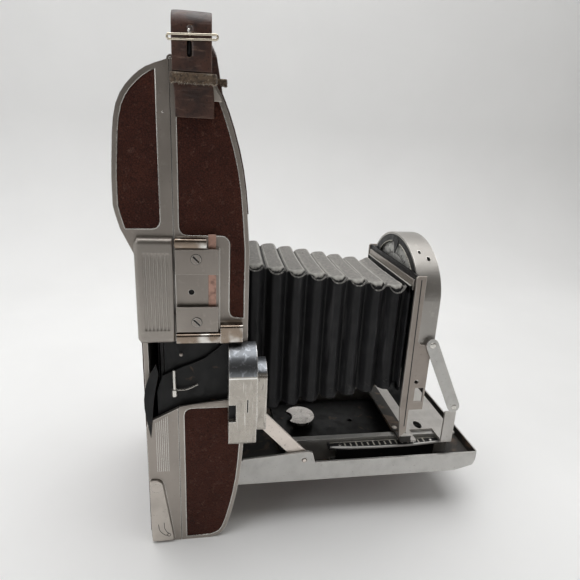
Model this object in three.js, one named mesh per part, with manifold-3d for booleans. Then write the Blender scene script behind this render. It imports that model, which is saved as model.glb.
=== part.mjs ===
// Folding roll-film camera, standing on its end with the bed open and the lens drawn out.
// Millimetres. X is across the camera, -Y faces the subject and Z is up.
// The origin is on the base, in the middle of the width, at the joint of case and back door.
import * as THREE from 'three';
import { mergeVertices } from 'three/addons/utils/BufferGeometryUtils.js';
import Module from 'manifold-3d';

const wasm = await Module();
wasm.setup();

// ---------------------------------------------------------------- driving dimensions
const HALF_WIDTH = 59;
const HEIGHT = 266;
const FRONT = -36.5; // flat front of the case and of the closed bed
const BACK = 18.2; // flat back of the door
const SEAM = 0.8; // parting plane of case and door
const GAP = 0.3;
const WALL = 2.4;
const RIM = 2.3; // metal left bare around each leather panel
const CORNER = 4; // rounding of a leather panel's corners
const LEATHER = 0.8;
const TOUCH = 0.02; // air between two pieces that rest on each other

const BED_HINGE = { y: -30.5, z: 36, radius: 6 };
const BED = { half: 50.5, front: -191.8, bottom: 30, top: 43, wall: 1.5, floor: 32.4 };
const OPENING = { half: 51.3, bottom: 28.5, top: 198 };
const RAIL = { inner: 30, outer: 34.2, top: 48, rear: -65, front: -182 };
const CARRIAGE = { bottom: 48.3, top: 49.8, half: 31, rear: -148, front: -180 };
const STANDARD = { back: -136, cheekIn: 43.5, cheekOut: 45, bottom: 74, top: 162 };
const SHUTTER = { half: 43.2, archZ: 145, arch: 34, chinZ: 118, chin: 32, back: -137.8, front: -152.5 };
const LENS_Z = 122;
const STRUT = { in: 47, out: 48.5, width: 8.5, length: 72, pivotY: -74, pivotZ: 45, tilt: 47.2 };
const BRACE = { in: 45.5, out: 46.5, width: 8, length: 48, pivotY: -150, pivotZ: 119, tilt: -115.4 };
const DOOR_HINGE_Z = 267;

// ---------------------------------------------------------------- finishes
const finish = (color, roughness, metalness) =>
  new THREE.MeshStandardMaterial({ color, roughness, metalness });
const satin = () => finish(0x9a9690, 0.42, 0.9);
const chrome = () => finish(0xd8d4cc, 0.18, 1);
const aluminium = () => finish(0xb4b2ac, 0.5, 0.9);
const leather = () => finish(0x4a2a26, 0.7, 0);
const black = () => finish(0x1c1c1e, 0.55, 0.2);
const strapLeather = () => finish(0x4a3230, 0.6, 0);
const copper = () => finish(0xa87a66, 0.4, 0.9);
const steel = () => finish(0xc2beb6, 0.3, 1);
const glass = () => finish(0x20242c, 0.05, 0);
const bellowsCloth = () => finish(0x2a2a2c, 0.8, 0);

// ---------------------------------------------------------------- outlines and solids
const radians = (degrees) => (degrees * Math.PI) / 180;

function arc(a, b, radiusA, from, to, steps = 4, radiusB = radiusA) {
  return Array.from({ length: steps + 1 }, (_, i) => {
    const angle = radians(from + ((to - from) * i) / steps);
    return [a + radiusA * Math.cos(angle), b + radiusB * Math.sin(angle)];
  });
}

function roundRect(a0, b0, a1, b1, radius, steps = 3) {
  return [
    ...arc(a1 - radius, b0 + radius, radius, -90, 0, steps),
    ...arc(a1 - radius, b1 - radius, radius, 0, 90, steps),
    ...arc(a0 + radius, b1 - radius, radius, 90, 180, steps),
    ...arc(a0 + radius, b0 + radius, radius, 180, 270, steps),
  ];
}

function spline(points, steps) {
  const curve = new THREE.SplineCurve(points.map(([a, b]) => new THREE.Vector2(a, b)));
  return curve.getPoints(steps).map((p) => [p.x, p.y]);
}

// Moves an open line to its right by a distance; a negative distance moves it to its left.
function offsetLine(points, distance) {
  return points.map(([a, b], i) => {
    const before = points[Math.max(i - 1, 0)];
    const after = points[Math.min(i + 1, points.length - 1)];
    const along = new THREE.Vector2(after[0] - before[0], after[1] - before[1]).normalize();
    return [a + along.y * distance, b - along.x * distance];
  });
}

function solid(geometry) {
  const bare = geometry.clone();
  bare.deleteAttribute('normal');
  bare.deleteAttribute('uv');
  const merged = mergeVertices(bare, 1e-4);
  const mesh = new wasm.Mesh({
    numProp: 3,
    vertProperties: merged.attributes.position.array,
    triVerts: Uint32Array.from(merged.index.array),
  });
  return new wasm.Manifold(mesh);
}

const ALONG_X = new THREE.Matrix4().set(0, 0, 1, 0, 1, 0, 0, 0, 0, 1, 0, 0, 0, 0, 0, 1);
const ALONG_Y = new THREE.Matrix4().set(1, 0, 0, 0, 0, 0, -1, 0, 0, 1, 0, 0, 0, 0, 0, 1);

function extrude(outline, length, matrix = new THREE.Matrix4()) {
  const shape = new THREE.Shape(outline.map(([a, b]) => new THREE.Vector2(a, b)));
  const geometry = new THREE.ExtrudeGeometry(shape, { depth: length, bevelEnabled: false });
  return geometry.applyMatrix4(matrix);
}

// Prisms: a (y, z) outline along X, an (x, z) outline along Y, an (x, y) outline along Z.
const alongX = (outline, x0, x1) => solid(extrude(outline, x1 - x0, ALONG_X).translate(x0, 0, 0));
const alongY = (outline, y0, y1) => solid(extrude(outline, y1 - y0, ALONG_Y).translate(0, y1, 0));
const alongZ = (outline, z0, z1) => solid(extrude(outline, z1 - z0).translate(0, 0, z0));

function box(x0, x1, y0, y1, z0, z1) {
  const geometry = new THREE.BoxGeometry(x1 - x0, y1 - y0, z1 - z0);
  return solid(geometry.translate((x0 + x1) / 2, (y0 + y1) / 2, (z0 + z1) / 2));
}

const circle = (a, b, radius, sides = 20) => arc(a, b, radius, 0, 360 - 360 / sides, sides - 1);
const join = (first, ...others) => others.reduce((sum, other) => sum.add(other), first);
const cut = (first, ...others) => others.reduce((rest, other) => rest.subtract(other), first);
const mirrored = (build) => join(build(-1), build(1));

// A span of x on one side of the camera: side is -1 or 1, near is the smaller distance.
const span = (side, near, far) => (side < 0 ? [-far, -near] : [near, far]);

// Turns a profile of [radius, y] pairs, listed from the back to the front, about an axis along Y.
function turnedAboutY(profile, x, z, sides = 28) {
  const points = profile.map(([radius, y]) => new THREE.Vector2(radius, y)).reverse();
  return solid(new THREE.LatheGeometry(points, sides).translate(x, 0, z));
}

function part(name, body, material, parent) {
  const data = body.getMesh();
  const geometry = new THREE.BufferGeometry();
  geometry.setAttribute('position', new THREE.BufferAttribute(Float32Array.from(data.vertProperties), 3));
  geometry.setIndex(new THREE.BufferAttribute(Uint32Array.from(data.triVerts), 1));
  geometry.computeVertexNormals();
  const mesh = new THREE.Mesh(geometry, material);
  mesh.name = name;
  parent.add(mesh);
  return mesh;
}

// ---------------------------------------------------------------- side profiles, in (y, z)
const CASE_EDGE = SEAM - GAP / 2;
const DOOR_EDGE = SEAM + GAP / 2;
const CASE_UPPER = spline([[FRONT, 180], [-32.6, 219], [-22.5, 252], [-12, 262], [CASE_EDGE, HEIGHT]], 16);
const CASE_LOWER = spline([[-16, 0], [-25.5, 7], [-33.3, 42], [FRONT, 90]], 12);
const CASE_PROFILE = [[CASE_EDGE, 0], ...CASE_LOWER, ...CASE_UPPER];
const DOOR_UPPER = spline([[DOOR_EDGE, HEIGHT], [14, 260], [24.5, 246], [27.8, 220], [28.4, 201]], 16);
const DOOR_NECK = spline([[28.4, 201], [25.8, 190], [20.2, 178], [BACK, 168]], 6);
const DOOR_FOOT = [...arc(BACK - 3, 3, 3, 0, -90, 3), [DOOR_EDGE, 0]];
const DOOR_PROFILE = [...DOOR_UPPER, ...DOOR_NECK.slice(1), ...DOOR_FOOT];

// A case half: the profile as a shell, open at the seam.
function shell(profile, openY) {
  const inside = offsetLine(profile, WALL);
  inside[0] = [openY, inside[0][1]];
  inside[inside.length - 1] = [openY, inside[inside.length - 1][1]];
  return cut(
    alongX(profile, -HALF_WIDTH, HALF_WIDTH),
    alongX(inside, WALL - HALF_WIDTH, HALF_WIDTH - WALL),
  );
}

// A side panel: the profile drawn in by the rim, kept inside round-cornered (y, z) rectangles.
function sidePanel(profile, { rectangles, insideCorners = [] }, side, deep, grow) {
  const x = span(side, HALF_WIDTH - deep, HALF_WIDTH - (grow ? -1 : 0.2));
  const fields = rectangles.map(([y0, z0, y1, z1]) =>
    alongX(roundRect(y0 - grow, z0 - grow, y1 + grow, z1 + grow, CORNER), ...x));
  // The inside corner between the two fields of an L-shaped panel, at (y, z), is rounded as well.
  const fillets = insideCorners.map(([y, z]) => alongX([
    ...arc(y + CORNER, z - CORNER, CORNER - grow, 90, 180, 5),
    [y - 1, z - CORNER], [y - 1, z + 1], [y + CORNER, z + 1],
  ], ...x));
  return join(...fields, ...fillets).intersect(alongX(offsetLine(profile, RIM - grow), ...x));
}

const leatherOn = (profile, fields, side) => sidePanel(profile, fields, side, LEATHER + 0.2 - TOUCH, 0);
const recessFor = (profile, fields, side) => sidePanel(profile, fields, side, LEATHER + 0.2, 0.2);

const CASE_NEAR_TOP = {
  rectangles: [[-60, 187, -1.8, 300], [-60, 143.5, -26.5, 300]],
  insideCorners: [[-26.5, 187]],
};
const CASE_NEAR_FOOT = { rectangles: [[-60, -20, -2.3, 90]] };
const CASE_FAR = { rectangles: [[-60, -20, -2, 300]] };
const DOOR_NEAR = { rectangles: [[7, 190, 60, 300]] };
const DOOR_FAR = { rectangles: [[4, -20, 60, 300]] };

// A sheet that follows a stretch of a profile, on its outside.
function sheet(profile, half, thickness) {
  const inner = offsetLine(profile, -TOUCH);
  const outer = offsetLine(profile, -thickness);
  return alongX([...inner, ...outer.reverse()], -half, half);
}

// ================================================================ body
const camera = new THREE.Group();
const body = new THREE.Group();
camera.add(body);

const KNUCKLE = { radius: 1.9, bore: 1.2 };
const CASE_KNUCKLES = [[-50, -30], [-10, 10], [30, 50]];
const DOOR_KNUCKLES = [[-29.5, -10.5], [10.5, 29.5]];

// Joins a half's own hinge knuckles to its shell, and clears the other half's.
function hinged(half, own, others) {
  const rod = (radius, x0, x1) => alongX(circle(SEAM, DOOR_HINGE_Z, radius, 12), x0, x1);
  return cut(
    join(half, ...own.map(([x0, x1]) => rod(KNUCKLE.radius, x0, x1))),
    ...others.map(([x0, x1]) => rod(KNUCKLE.radius + GAP, x0 - GAP, x1 + GAP)),
    rod(KNUCKLE.bore, -HALF_WIDTH - 1, HALF_WIDTH + 1),
  );
}

const SIDE_WINDOW = { top: 131, front: -29, sill: 91 };
const caseWindow = alongX(
  [[2, 90.5], [2, SIDE_WINDOW.top], [SIDE_WINDOW.front, SIDE_WINDOW.top], [SIDE_WINDOW.front, 94.5]],
  -HALF_WIDTH - 1, WALL - HALF_WIDTH + 0.5,
);
const doorWindow = alongX(
  [[-1, 91.5], [15, 83.4], [BACK + 1, 78], [BACK + 1, SIDE_WINDOW.top], [-1, SIDE_WINDOW.top]],
  -HALF_WIDTH - 1, WALL - HALF_WIDTH + 0.5,
);

const TRIPOD = { x: 26, y: -8, radius: 6, bore: 3.2, length: 6 };
const frontCase = cut(
  hinged(shell(CASE_PROFILE, SEAM + 5), CASE_KNUCKLES, DOOR_KNUCKLES),
  alongY(roundRect(-OPENING.half, OPENING.bottom, OPENING.half, OPENING.top, 3), -60, FRONT + 8),
  caseWindow,
  recessFor(CASE_PROFILE, CASE_NEAR_TOP, -1),
  recessFor(CASE_PROFILE, CASE_NEAR_FOOT, -1),
  recessFor(CASE_PROFILE, CASE_FAR, 1),
  alongZ(circle(TRIPOD.x, TRIPOD.y, TRIPOD.radius + GAP), -1, 5),
);
part('case_leather_near_upper', leatherOn(CASE_PROFILE, CASE_NEAR_TOP, -1), leather(), body);
part('case_leather_near_lower', leatherOn(CASE_PROFILE, CASE_NEAR_FOOT, -1), leather(), body);
part('case_leather_far', leatherOn(CASE_PROFILE, CASE_FAR, 1), leather(), body);
part('front_leather', sheet(CASE_UPPER.slice(2, 15), HALF_WIDTH - 4, LEATHER), leather(), body);

const WALL_FACE = -HALF_WIDTH - TOUCH; // outside of the near wall
const STRAP = { y0: -18.9, y1: -0.6, x: 60.6, thick: 2.4, top: 285.6, bend: 9, foot: 242 };
const ROLLER = { radius: 3.2, half: 50, z: 21, innerY: 5.2, outerY: 12 };
const shoeFloor = cut(
  box(-60, -HALF_WIDTH + 0.5, -21.6, 0.3, 137, 181),
  alongX(circle(-7.4, 158, 1.5, 12), -61, -58.6),
);
part('front_case', join(frontCase, shoeFloor), satin(), body);

const tripodBush = cut(
  alongZ(circle(TRIPOD.x, TRIPOD.y, TRIPOD.radius), 0, TRIPOD.length),
  alongZ(circle(TRIPOD.x, TRIPOD.y, TRIPOD.bore), -1, TRIPOD.length + 1),
);
part('tripod_bush', tripodBush, steel(), body);

const PIN_RADIUS = 0.9;
part('door_hinge_pin', alongX(circle(SEAM, DOOR_HINGE_Z, PIN_RADIUS, 10), -50.5, 50.5), steel(), body);

// ---------------------------------------------------------------- light chamber and film path
const CHAMBER = { half: 53, wall: 1.2, bottom: 26.6, top: 199.8, front: -33.2, back: 8 };
const APERTURE = { half: 42, bottom: 72, top: 166 };
const chamberOutline = [CHAMBER.bottom, CHAMBER.top];
const lightChamber = cut(
  box(-CHAMBER.half, CHAMBER.half, CHAMBER.front, CHAMBER.back, ...chamberOutline),
  box(CHAMBER.wall - CHAMBER.half, CHAMBER.half - CHAMBER.wall, -60, 60,
    CHAMBER.bottom + CHAMBER.wall, CHAMBER.top - CHAMBER.wall),
).intersect(alongX([
  ...offsetLine(CASE_PROFILE, WALL + GAP), [CHAMBER.back, 260], [CHAMBER.back, 5],
], -60, 60));
const insideHalf = CHAMBER.half - 0.5;
const bellowsFrame = cut(
  box(-insideHalf, insideHalf, CHAMBER.back - 2, CHAMBER.back - 0.6, CHAMBER.bottom + 0.5, CHAMBER.top - 0.5),
  alongY(roundRect(-APERTURE.half, APERTURE.bottom, APERTURE.half, APERTURE.top, 3), 0, 10),
);
part('light_chamber', join(lightChamber, bellowsFrame), black(), body);

const filmGate = cut(
  box(-CHAMBER.half, CHAMBER.half, CHAMBER.back + GAP, CHAMBER.back + 1.8, CHAMBER.bottom, CHAMBER.top),
  box(-38, 38, 0, 20, 74, 164),
);
part('film_gate', filmGate, black(), body);

// Film spools: a core between two flanges, on an axis along X.
function spool(y, z, core, flange, half) {
  return join(
    alongX(circle(y, z, core, 20), -half, half),
    alongX(circle(y, z, flange, 20), -half, 2 - half),
    alongX(circle(y, z, flange, 20), half - 2, half),
  );
}
const SUPPLY = { y: -8, z: 232 };
const NEGATIVE = { y: -8, z: 14 };
part('supply_spool', spool(SUPPLY.y, SUPPLY.z, 9, 14, 52), black(), body);
part('negative_spool', spool(NEGATIVE.y, NEGATIVE.z, 5, 9, 52), black(), body);

const roller = (y) => join(
  alongX(circle(y, ROLLER.z, ROLLER.radius, 18), -ROLLER.half, ROLLER.half),
  alongX(circle(y, ROLLER.z, 1.5, 10), -ROLLER.half - 3.5, ROLLER.half + 3.5),
);
part('spreader_roller_inner', roller(ROLLER.innerY), steel(), body);

// ---------------------------------------------------------------- bed hinge
part('bed_hinge_pin', alongX(circle(BED_HINGE.y, BED_HINGE.z, 1.5, 12), -51, 51), steel(), body);

// ---------------------------------------------------------------- accessory shoe, near side
const SHOE = { front: -21, back: 0.3, floor: -60, jaw: -63.2, lip: 1.2 };
part('contact_strip', box(SHOE.floor - 0.5, SHOE.floor - TOUCH, -19.8, -15.9, 150, 188), copper(), body);

function shoeJaw(z0, z1, footLow) {
  const foot = footLow ? [z0, z0 + 3] : [z1 - 3, z1];
  const slotForStrip = box(-61.4, -59, -20.1, -15.6, z0 - 1, z1 + 1);
  return cut(
    join(
      box(SHOE.jaw, SHOE.jaw + SHOE.lip, SHOE.front, SHOE.back, z0, z1),
      box(SHOE.jaw, SHOE.floor - TOUCH, SHOE.front, SHOE.back, ...foot),
    ),
    slotForStrip,
  );
}
part('shoe_jaw_upper', shoeJaw(168, 181, false), satin(), body);
part('shoe_jaw_lower', shoeJaw(137.3, 151, true), satin(), body);

const slottedHead = cut(
  solid(new THREE.CylinderGeometry(2.5, 2.5, 0.5, 16)),
  solid(new THREE.BoxGeometry(0.8, 1, 6).translate(0, -0.5, 0)),
);
for (const [name, z] of [['shoe_screw_upper', 176], ['shoe_screw_lower', 142.8]]) {
  const screw = part(name, slottedHead, steel(), body);
  screw.position.set(SHOE.jaw - 0.25 - TOUCH, -10, z);
  screw.rotation.set(radians(-45), 0, radians(-90));
}

const BAR_OUT = -64.5;
part('shoe_bar_upper', alongY(roundRect(BAR_OUT, 181.3, WALL_FACE, 186.5, 1.6), -15.3, 0.3), chrome(), body);
const lowerBar = join(
  alongY(roundRect(BAR_OUT, 131, WALL_FACE, 136.7, 1.6), -33.5, 0.3),
  alongY(roundRect(BAR_OUT - 0.6, 131, WALL_FACE, 141.5, 1.6), -33.5, -22),
);
part('shoe_bar_lower', lowerBar, chrome(), body);

// ---------------------------------------------------------------- inside the side window
const TRAP_X = [-55.4, -54.4];
const trapOutline = [
  [-30, 80], [12, 80], [12, 100], ...spline([[9, 109], [-2, 114], [-14, 119], [-24, 128]], 6), [-30, 130],
];
part('light_trap_sheet', alongX(trapOutline, ...TRAP_X), black(), body);
const trapPin = join(
  alongZ(circle(-57.2, 2.6, 0.9, 10), 101, 113),
  alongZ(circle(-57.2, 2.6, 1.6, 10), 97.5, 101.3),
);
const wirePath = new THREE.CatmullRomCurve3([
  new THREE.Vector3(-57.2, 2.6, 101), new THREE.Vector3(-57, -4, 101.2), new THREE.Vector3(-57, -10, 104),
]);
const wireSection = new THREE.Shape(circle(0, 0, 0.5, 8).map(([a, b]) => new THREE.Vector2(a, b)));
const wire = new THREE.ExtrudeGeometry(wireSection, { steps: 8, extrudePath: wirePath, bevelEnabled: false });
part('trap_spring', join(solid(wire), trapPin), steel(), body);

// ---------------------------------------------------------------- viewfinder, near side front
const FINDER = { out: -74, back: -26.2, front: -41, bottom: 75, top: 116, shoulder: 130 };
const finderOutline = [
  [WALL_FACE, FINDER.bottom],
  [WALL_FACE, FINDER.shoulder],
  ...arc(WALL_FACE, FINDER.top, FINDER.out - WALL_FACE, -80, 0, 6, FINDER.top - FINDER.shoulder),
  ...arc(FINDER.out + 3, FINDER.bottom + 3, 3, 180, 270, 3),
];
const finderHousing = cut(
  alongY(finderOutline, FINDER.front, FINDER.back),
  box(-71, -61.5, FINDER.front - 1, -30, 84, 113),
  alongY(circle(-66, 98, 3.5, 14), -31, FINDER.back + 1),
  box(FINDER.out - 1, -70.5, -30, -26, 90, 100),
  box(FINDER.out - 1, FINDER.out + 0.8, -36.4, -35.8, 95, 103),
);
part('viewfinder_housing', finderHousing, aluminium(), body);

const FRAME_BACK = FINDER.front - TOUCH;
const finderFrame = cut(
  alongY([
    [-59.3, 82], [-59.3, 121], ...arc(-59.3, 113, -12.2, -90, 0, 5, -8).slice(1),
    ...arc(-69.5, 84, 2, 180, 270, 3),
  ], -46.5, FRAME_BACK),
  box(-69.5, -61.5, -47, FINDER.front + 1, 86, 112),
);
part('viewfinder_frame', finderFrame, aluminium(), body);
part('viewfinder_lens', box(-69.2, -61.8, -44.4, -42.8, 86.3, 111.7), glass(), body);

// ---------------------------------------------------------------- hand strap
function strapOutline() {
  const outer = [
    ...arc(STRAP.x + STRAP.thick - STRAP.bend, STRAP.top - STRAP.bend, STRAP.bend, 0, 90, 4),
    ...arc(STRAP.bend - STRAP.x - STRAP.thick, STRAP.top - STRAP.bend, STRAP.bend, 90, 180, 4),
  ];
  const innerBend = STRAP.bend - STRAP.thick;
  const inner = [
    ...arc(innerBend - STRAP.x, STRAP.top - STRAP.bend, innerBend, 180, 90, 4),
    ...arc(STRAP.x - innerBend, STRAP.top - STRAP.bend, innerBend, 90, 0, 4),
  ];
  const foot = STRAP.x + STRAP.thick;
  return [
    [foot, STRAP.foot], ...outer, [-foot, STRAP.foot],
    [-STRAP.x, STRAP.foot], ...inner, [STRAP.x, STRAP.foot],
  ];
}
part('hand_strap', alongY(strapOutline(), STRAP.y0, STRAP.y1), strapLeather(), body);

const strapOut = STRAP.x + STRAP.thick + GAP;
const keeper = cut(
  box(-strapOut - 1.6, -STRAP.x + 1, STRAP.y0 - 1.8, STRAP.y1 + 1.8, 255.5, 260),
  box(-strapOut, -STRAP.x + 3, STRAP.y0 - GAP, STRAP.y1 + GAP, 250, 270),
);
part('strap_keeper', keeper, strapLeather(), body);
const buckle = cut(
  box(-strapOut - 1.6, -STRAP.x + 1.8, STRAP.y0 - 2, STRAP.y1 + 2, 271.5, 276.5),
  box(-strapOut, -STRAP.x + GAP, STRAP.y0 - GAP, STRAP.y1 + GAP, 270, 279),
  box(-strapOut - 3, -strapOut - 0.01, STRAP.y0 - 0.4, STRAP.y1 + 0.4, 273, 275),
);
part('strap_buckle', buckle, steel(), body);

// ================================================================ back door
const door = new THREE.Group();
camera.add(door);

const backDoor = cut(
  hinged(shell(DOOR_PROFILE, SEAM - 5), DOOR_KNUCKLES, CASE_KNUCKLES),
  doorWindow,
  recessFor(DOOR_PROFILE, DOOR_NEAR, -1),
  recessFor(DOOR_PROFILE, DOOR_FAR, 1),
);
// Latch lever: upright along the back edge of the door, with a slanting front edge.
const latchOutline = (grow) => [
  ...arc(16.4, 43.4, 1.2 + grow, 0, 90, 2),
  ...arc(14.4, 40.6, 4 + grow, 90, 168, 5),
  ...arc(6.4, 2.8, 1.2 + grow, 190, 270, 2),
  ...arc(16.4, 2.8, 1.2 + grow, 270, 360, 2),
];
const latchGroove = cut(alongX(latchOutline(0.7), -70, -58.2), alongX(latchOutline(0), -70, -50));

const rollerHanger = (side) => cut(
  box(...span(side, 51.2, HALF_WIDTH - WALL + 0.2), 8.9, 15, 6, 25.5),
  alongX(circle(ROLLER.outerY, ROLLER.z, 1.9, 10), -60, 60),
);
part('back_door', join(cut(backDoor, latchGroove), mirrored(rollerHanger)), satin(), door);
part('door_leather_near', leatherOn(DOOR_PROFILE, DOOR_NEAR, -1), leather(), door);
part('door_leather_far', leatherOn(DOOR_PROFILE, DOOR_FAR, 1), leather(), door);

const BACK_LINE = [...DOOR_UPPER.slice(3), ...DOOR_NECK.slice(1), [BACK, 90], [BACK, 5]];
part('back_leather', sheet(BACK_LINE, HALF_WIDTH - 4, LEATHER), leather(), door);

// Ribbed grip: a block that wraps round the back edge of the door, with upright grooves.
const GRIP = { out: -63.6, back: 19.6, bottom: 131, top: 186.5, grooves: 7, pitch: 1.9, firstY: 3.6 };
const gripBlock = cut(
  alongZ([
    ...arc(GRIP.out + 2.6, GRIP.back - 2.6, 2.6, 90, 180, 4),
    ...arc(GRIP.out + 1, SEAM + 1.4, 1, 180, 270, 2),
    [WALL_FACE, SEAM + 0.4], [WALL_FACE, BACK + TOUCH], [-55.4, BACK + TOUCH], [-55.4, GRIP.back],
  ], GRIP.bottom, GRIP.top),
  alongX(roundRect(-5, GRIP.bottom - 5, GRIP.back + 5, GRIP.bottom + 0.01, 0.001), -80, 0),
);
const grooves = Array.from({ length: GRIP.grooves }, (_, i) => {
  const y = GRIP.firstY + i * GRIP.pitch;
  return alongZ(circle(GRIP.out - 0.2, y, 0.75, 8), 139.5, 178);
});
const doorBack = alongX(DOOR_PROFILE, -HALF_WIDTH - 0.1, 0);
part('ribbed_grip', cut(gripBlock, ...grooves, doorBack), satin(), door);

const flapOutline = [
  ...spline([[11.6, 118], [16.6, 108], [18.6, 94], [15.8, 73]], 10),
  ...spline([[14.6, 84], [13.2, 98], [10.4, 112]], 6),
];
part('trap_flap', alongX(flapOutline, -60.4, WALL_FACE), black(), door);

const latch = new THREE.Group();
camera.add(latch);
part('door_latch_lever', alongX(latchOutline(0), -60.6, WALL_FACE), aluminium(), latch);

part('pressure_plate', box(-44, 44, 11.2, 12.2, 62, 178), black(), door);
const outerRoller = new THREE.Group();
camera.add(outerRoller);
part('spreader_roller_outer', roller(ROLLER.outerY), steel(), outerRoller);

// ================================================================ bed
const bed = new THREE.Group();
camera.add(bed);

const trayOutline = [
  ...arc(BED_HINGE.y, BED_HINGE.z, BED_HINGE.radius, -90, 90, 8),
  [-36, 48], [-76, 51], [-79, 50], [-81, BED.top],
  [BED.front + 0.8, BED.top], [BED.front, BED.top - 0.8], [BED.front, 38], [-188.4, 33.4], [-176, BED.bottom],
];
const bedInside = [[-15, 80], [-15, BED.floor], [-178, BED.floor], [-190.3, 36.6], [-190.3, 80]];
const plan = alongZ([
  [-BED.half, 0], [BED.half, 0],
  ...arc(BED.half - 4, BED.front + 4, 4, 0, -90, 4), ...arc(4 - BED.half, BED.front + 4, 4, -90, -180, 4),
], 0, 80);
const bedTray = cut(
  alongX(trayOutline, -BED.half, BED.half).intersect(plan),
  alongX(bedInside, BED.wall - BED.half, BED.half - BED.wall),
  alongX(circle(BED_HINGE.y, BED_HINGE.z, 1.9, 12), -60, 60),
  alongX(circle(STRUT.pivotY, STRUT.pivotZ, 1.6, 12), -60, 60),
  alongZ(roundRect(5 - BED.half, -172, BED.half - 5, -42, 4), 0, BED.bottom + LEATHER),
);
part('bed_tray', bedTray, aluminium(), bed);
const bedLeather = alongZ(roundRect(5.3 - BED.half, -171.7, BED.half - 5.3, -42.3, 4), BED.bottom + 0.1,
  BED.bottom + LEATHER - TOUCH);
part('bed_leather', bedLeather, leather(), bed);

const FLOOR_TOP = 38;
const floorPlate = cut(
  box(-29, 29, -176, -62, BED.floor + TOUCH, FLOOR_TOP),
  box(-27.6, 27.6, -190, -50, 0, FLOOR_TOP - 1.4),
  alongZ(circle(1, -118, 1.6, 12), 0, 60),
);
part('bed_floor_plate', floorPlate, black(), bed);

for (const side of [-1, 1]) {
  const label = side < 0 ? 'near' : 'far';
  const rail = join(
    box(...span(side, RAIL.outer - 1.2, RAIL.outer), RAIL.front + 5, RAIL.rear, BED.floor + TOUCH, RAIL.top),
    box(...span(side, RAIL.inner, RAIL.outer), RAIL.front, RAIL.rear, RAIL.top - 1.4, RAIL.top),
  );
  part(`focus_rail_${label}`, rail, aluminium(), bed);
}

// Distance scale beside the near rail, with a bowed outer edge.
const SCALE = { rear: -92, front: -171, inner: -34.6, outer: -42.3, bottom: 44, top: 45.4 };
const scaleOutline = [
  [SCALE.inner, SCALE.front], [SCALE.inner, SCALE.rear],
  ...spline([[-40.6, SCALE.rear], [SCALE.outer, -128], [-39.2, SCALE.front]], 10),
];
const distanceScale = join(
  alongZ(scaleOutline, SCALE.bottom, SCALE.top),
  box(-38, -36.5, -166, -98, BED.floor + TOUCH, SCALE.bottom + 0.2),
);
part('distance_scale', distanceScale, black(), bed);

// ================================================================ small movers on the bed
const catchGroup = new THREE.Group();
camera.add(catchGroup);
const CATCH = { x: 3, y: -80.5, radius: 11.5, bottom: 41.3, top: 43.3 };
const kidney = cut(
  alongZ(arc(CATCH.x, CATCH.y, CATCH.radius, 0, 345, 23, 10.5), CATCH.bottom, CATCH.top),
  alongZ(circle(CATCH.x - 1, CATCH.y + 13, 7.4, 20), 0, 60),
);
const catchPost = alongZ(circle(CATCH.x, CATCH.y, 4, 16), FLOOR_TOP + GAP, CATCH.bottom + 0.1);
part('infinity_catch', join(kidney, catchPost), aluminium(), catchGroup);

const leverGroup = new THREE.Group();
camera.add(leverGroup);
const LEVER_Z = [37, 38.8];
const focusLever = join(
  alongZ([[-42.8, -92.5], [-45.1, -94.5], [-44.6, -114], [-42.8, -112]], ...LEVER_Z),
  box(-44, -39, -96.5, -92.5, ...LEVER_Z),
);
part('focus_lever', focusLever, chrome(), leverGroup);

// ================================================================ struts and carriage
const struts = new THREE.Group();
camera.add(struts);
// A bar from its pivot along +Y, with round ends.
const bar = (length, width, x0, x1) => alongX([
  ...arc(0, 0, width / 2, 90, 270, 6), ...arc(length, 0, width / 2, -90, 90, 6),
], x0, x1);
for (const side of [-1, 1]) {
  const label = side < 0 ? 'near' : 'far';
  const stub = alongX(circle(0, 0, 1.2, 12), ...span(side, STRUT.out - 0.2, BED.half + 0.4));
  const strut = part(
    `bed_strut_${label}`,
    join(bar(STRUT.length, STRUT.width, ...span(side, STRUT.in, STRUT.out)), stub),
    aluminium(), struts,
  );
  strut.position.set(0, STRUT.pivotY, STRUT.pivotZ);
  strut.rotation.x = radians(STRUT.tilt);
}

const carriage = new THREE.Group();
camera.add(carriage);
const FOOT = { in: 41, out: 42.9, front: -146, rear: -139, top: 54 };
const STAY = { in: 43.3, out: 44.8, front: -174, rear: -166.5, top: 71 };
const deck = (half, y0, y1) => box(-half, half, y0, y1, CARRIAGE.bottom, CARRIAGE.top);
const carriagePlate = cut(
  join(
    deck(CARRIAGE.half, CARRIAGE.front, CARRIAGE.rear + 10),
    deck(FOOT.out, FOOT.front - 4, FOOT.rear),
    deck(STAY.out, STAY.front, STAY.rear),
    box(-32, 22, -146.2, -138, CARRIAGE.top - 0.2, 50.3),
    ...[-1, 1].flatMap((side) => [
      box(...span(side, FOOT.in, FOOT.out), FOOT.front, FOOT.rear, CARRIAGE.bottom, FOOT.top),
      box(...span(side, STAY.in, STAY.out), STAY.front, STAY.rear, CARRIAGE.bottom, STAY.top),
    ]),
  ),
  alongZ(arc(-26, -158, 4.5, 0, 345, 23, 2.6), 40, 60),
  alongZ(circle(18, -166, 2, 12), 40, 60),
);
part('carriage_plate', carriagePlate, satin(), carriage);

// ================================================================ lens standard
const standard = new THREE.Group();
camera.add(standard);

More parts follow.
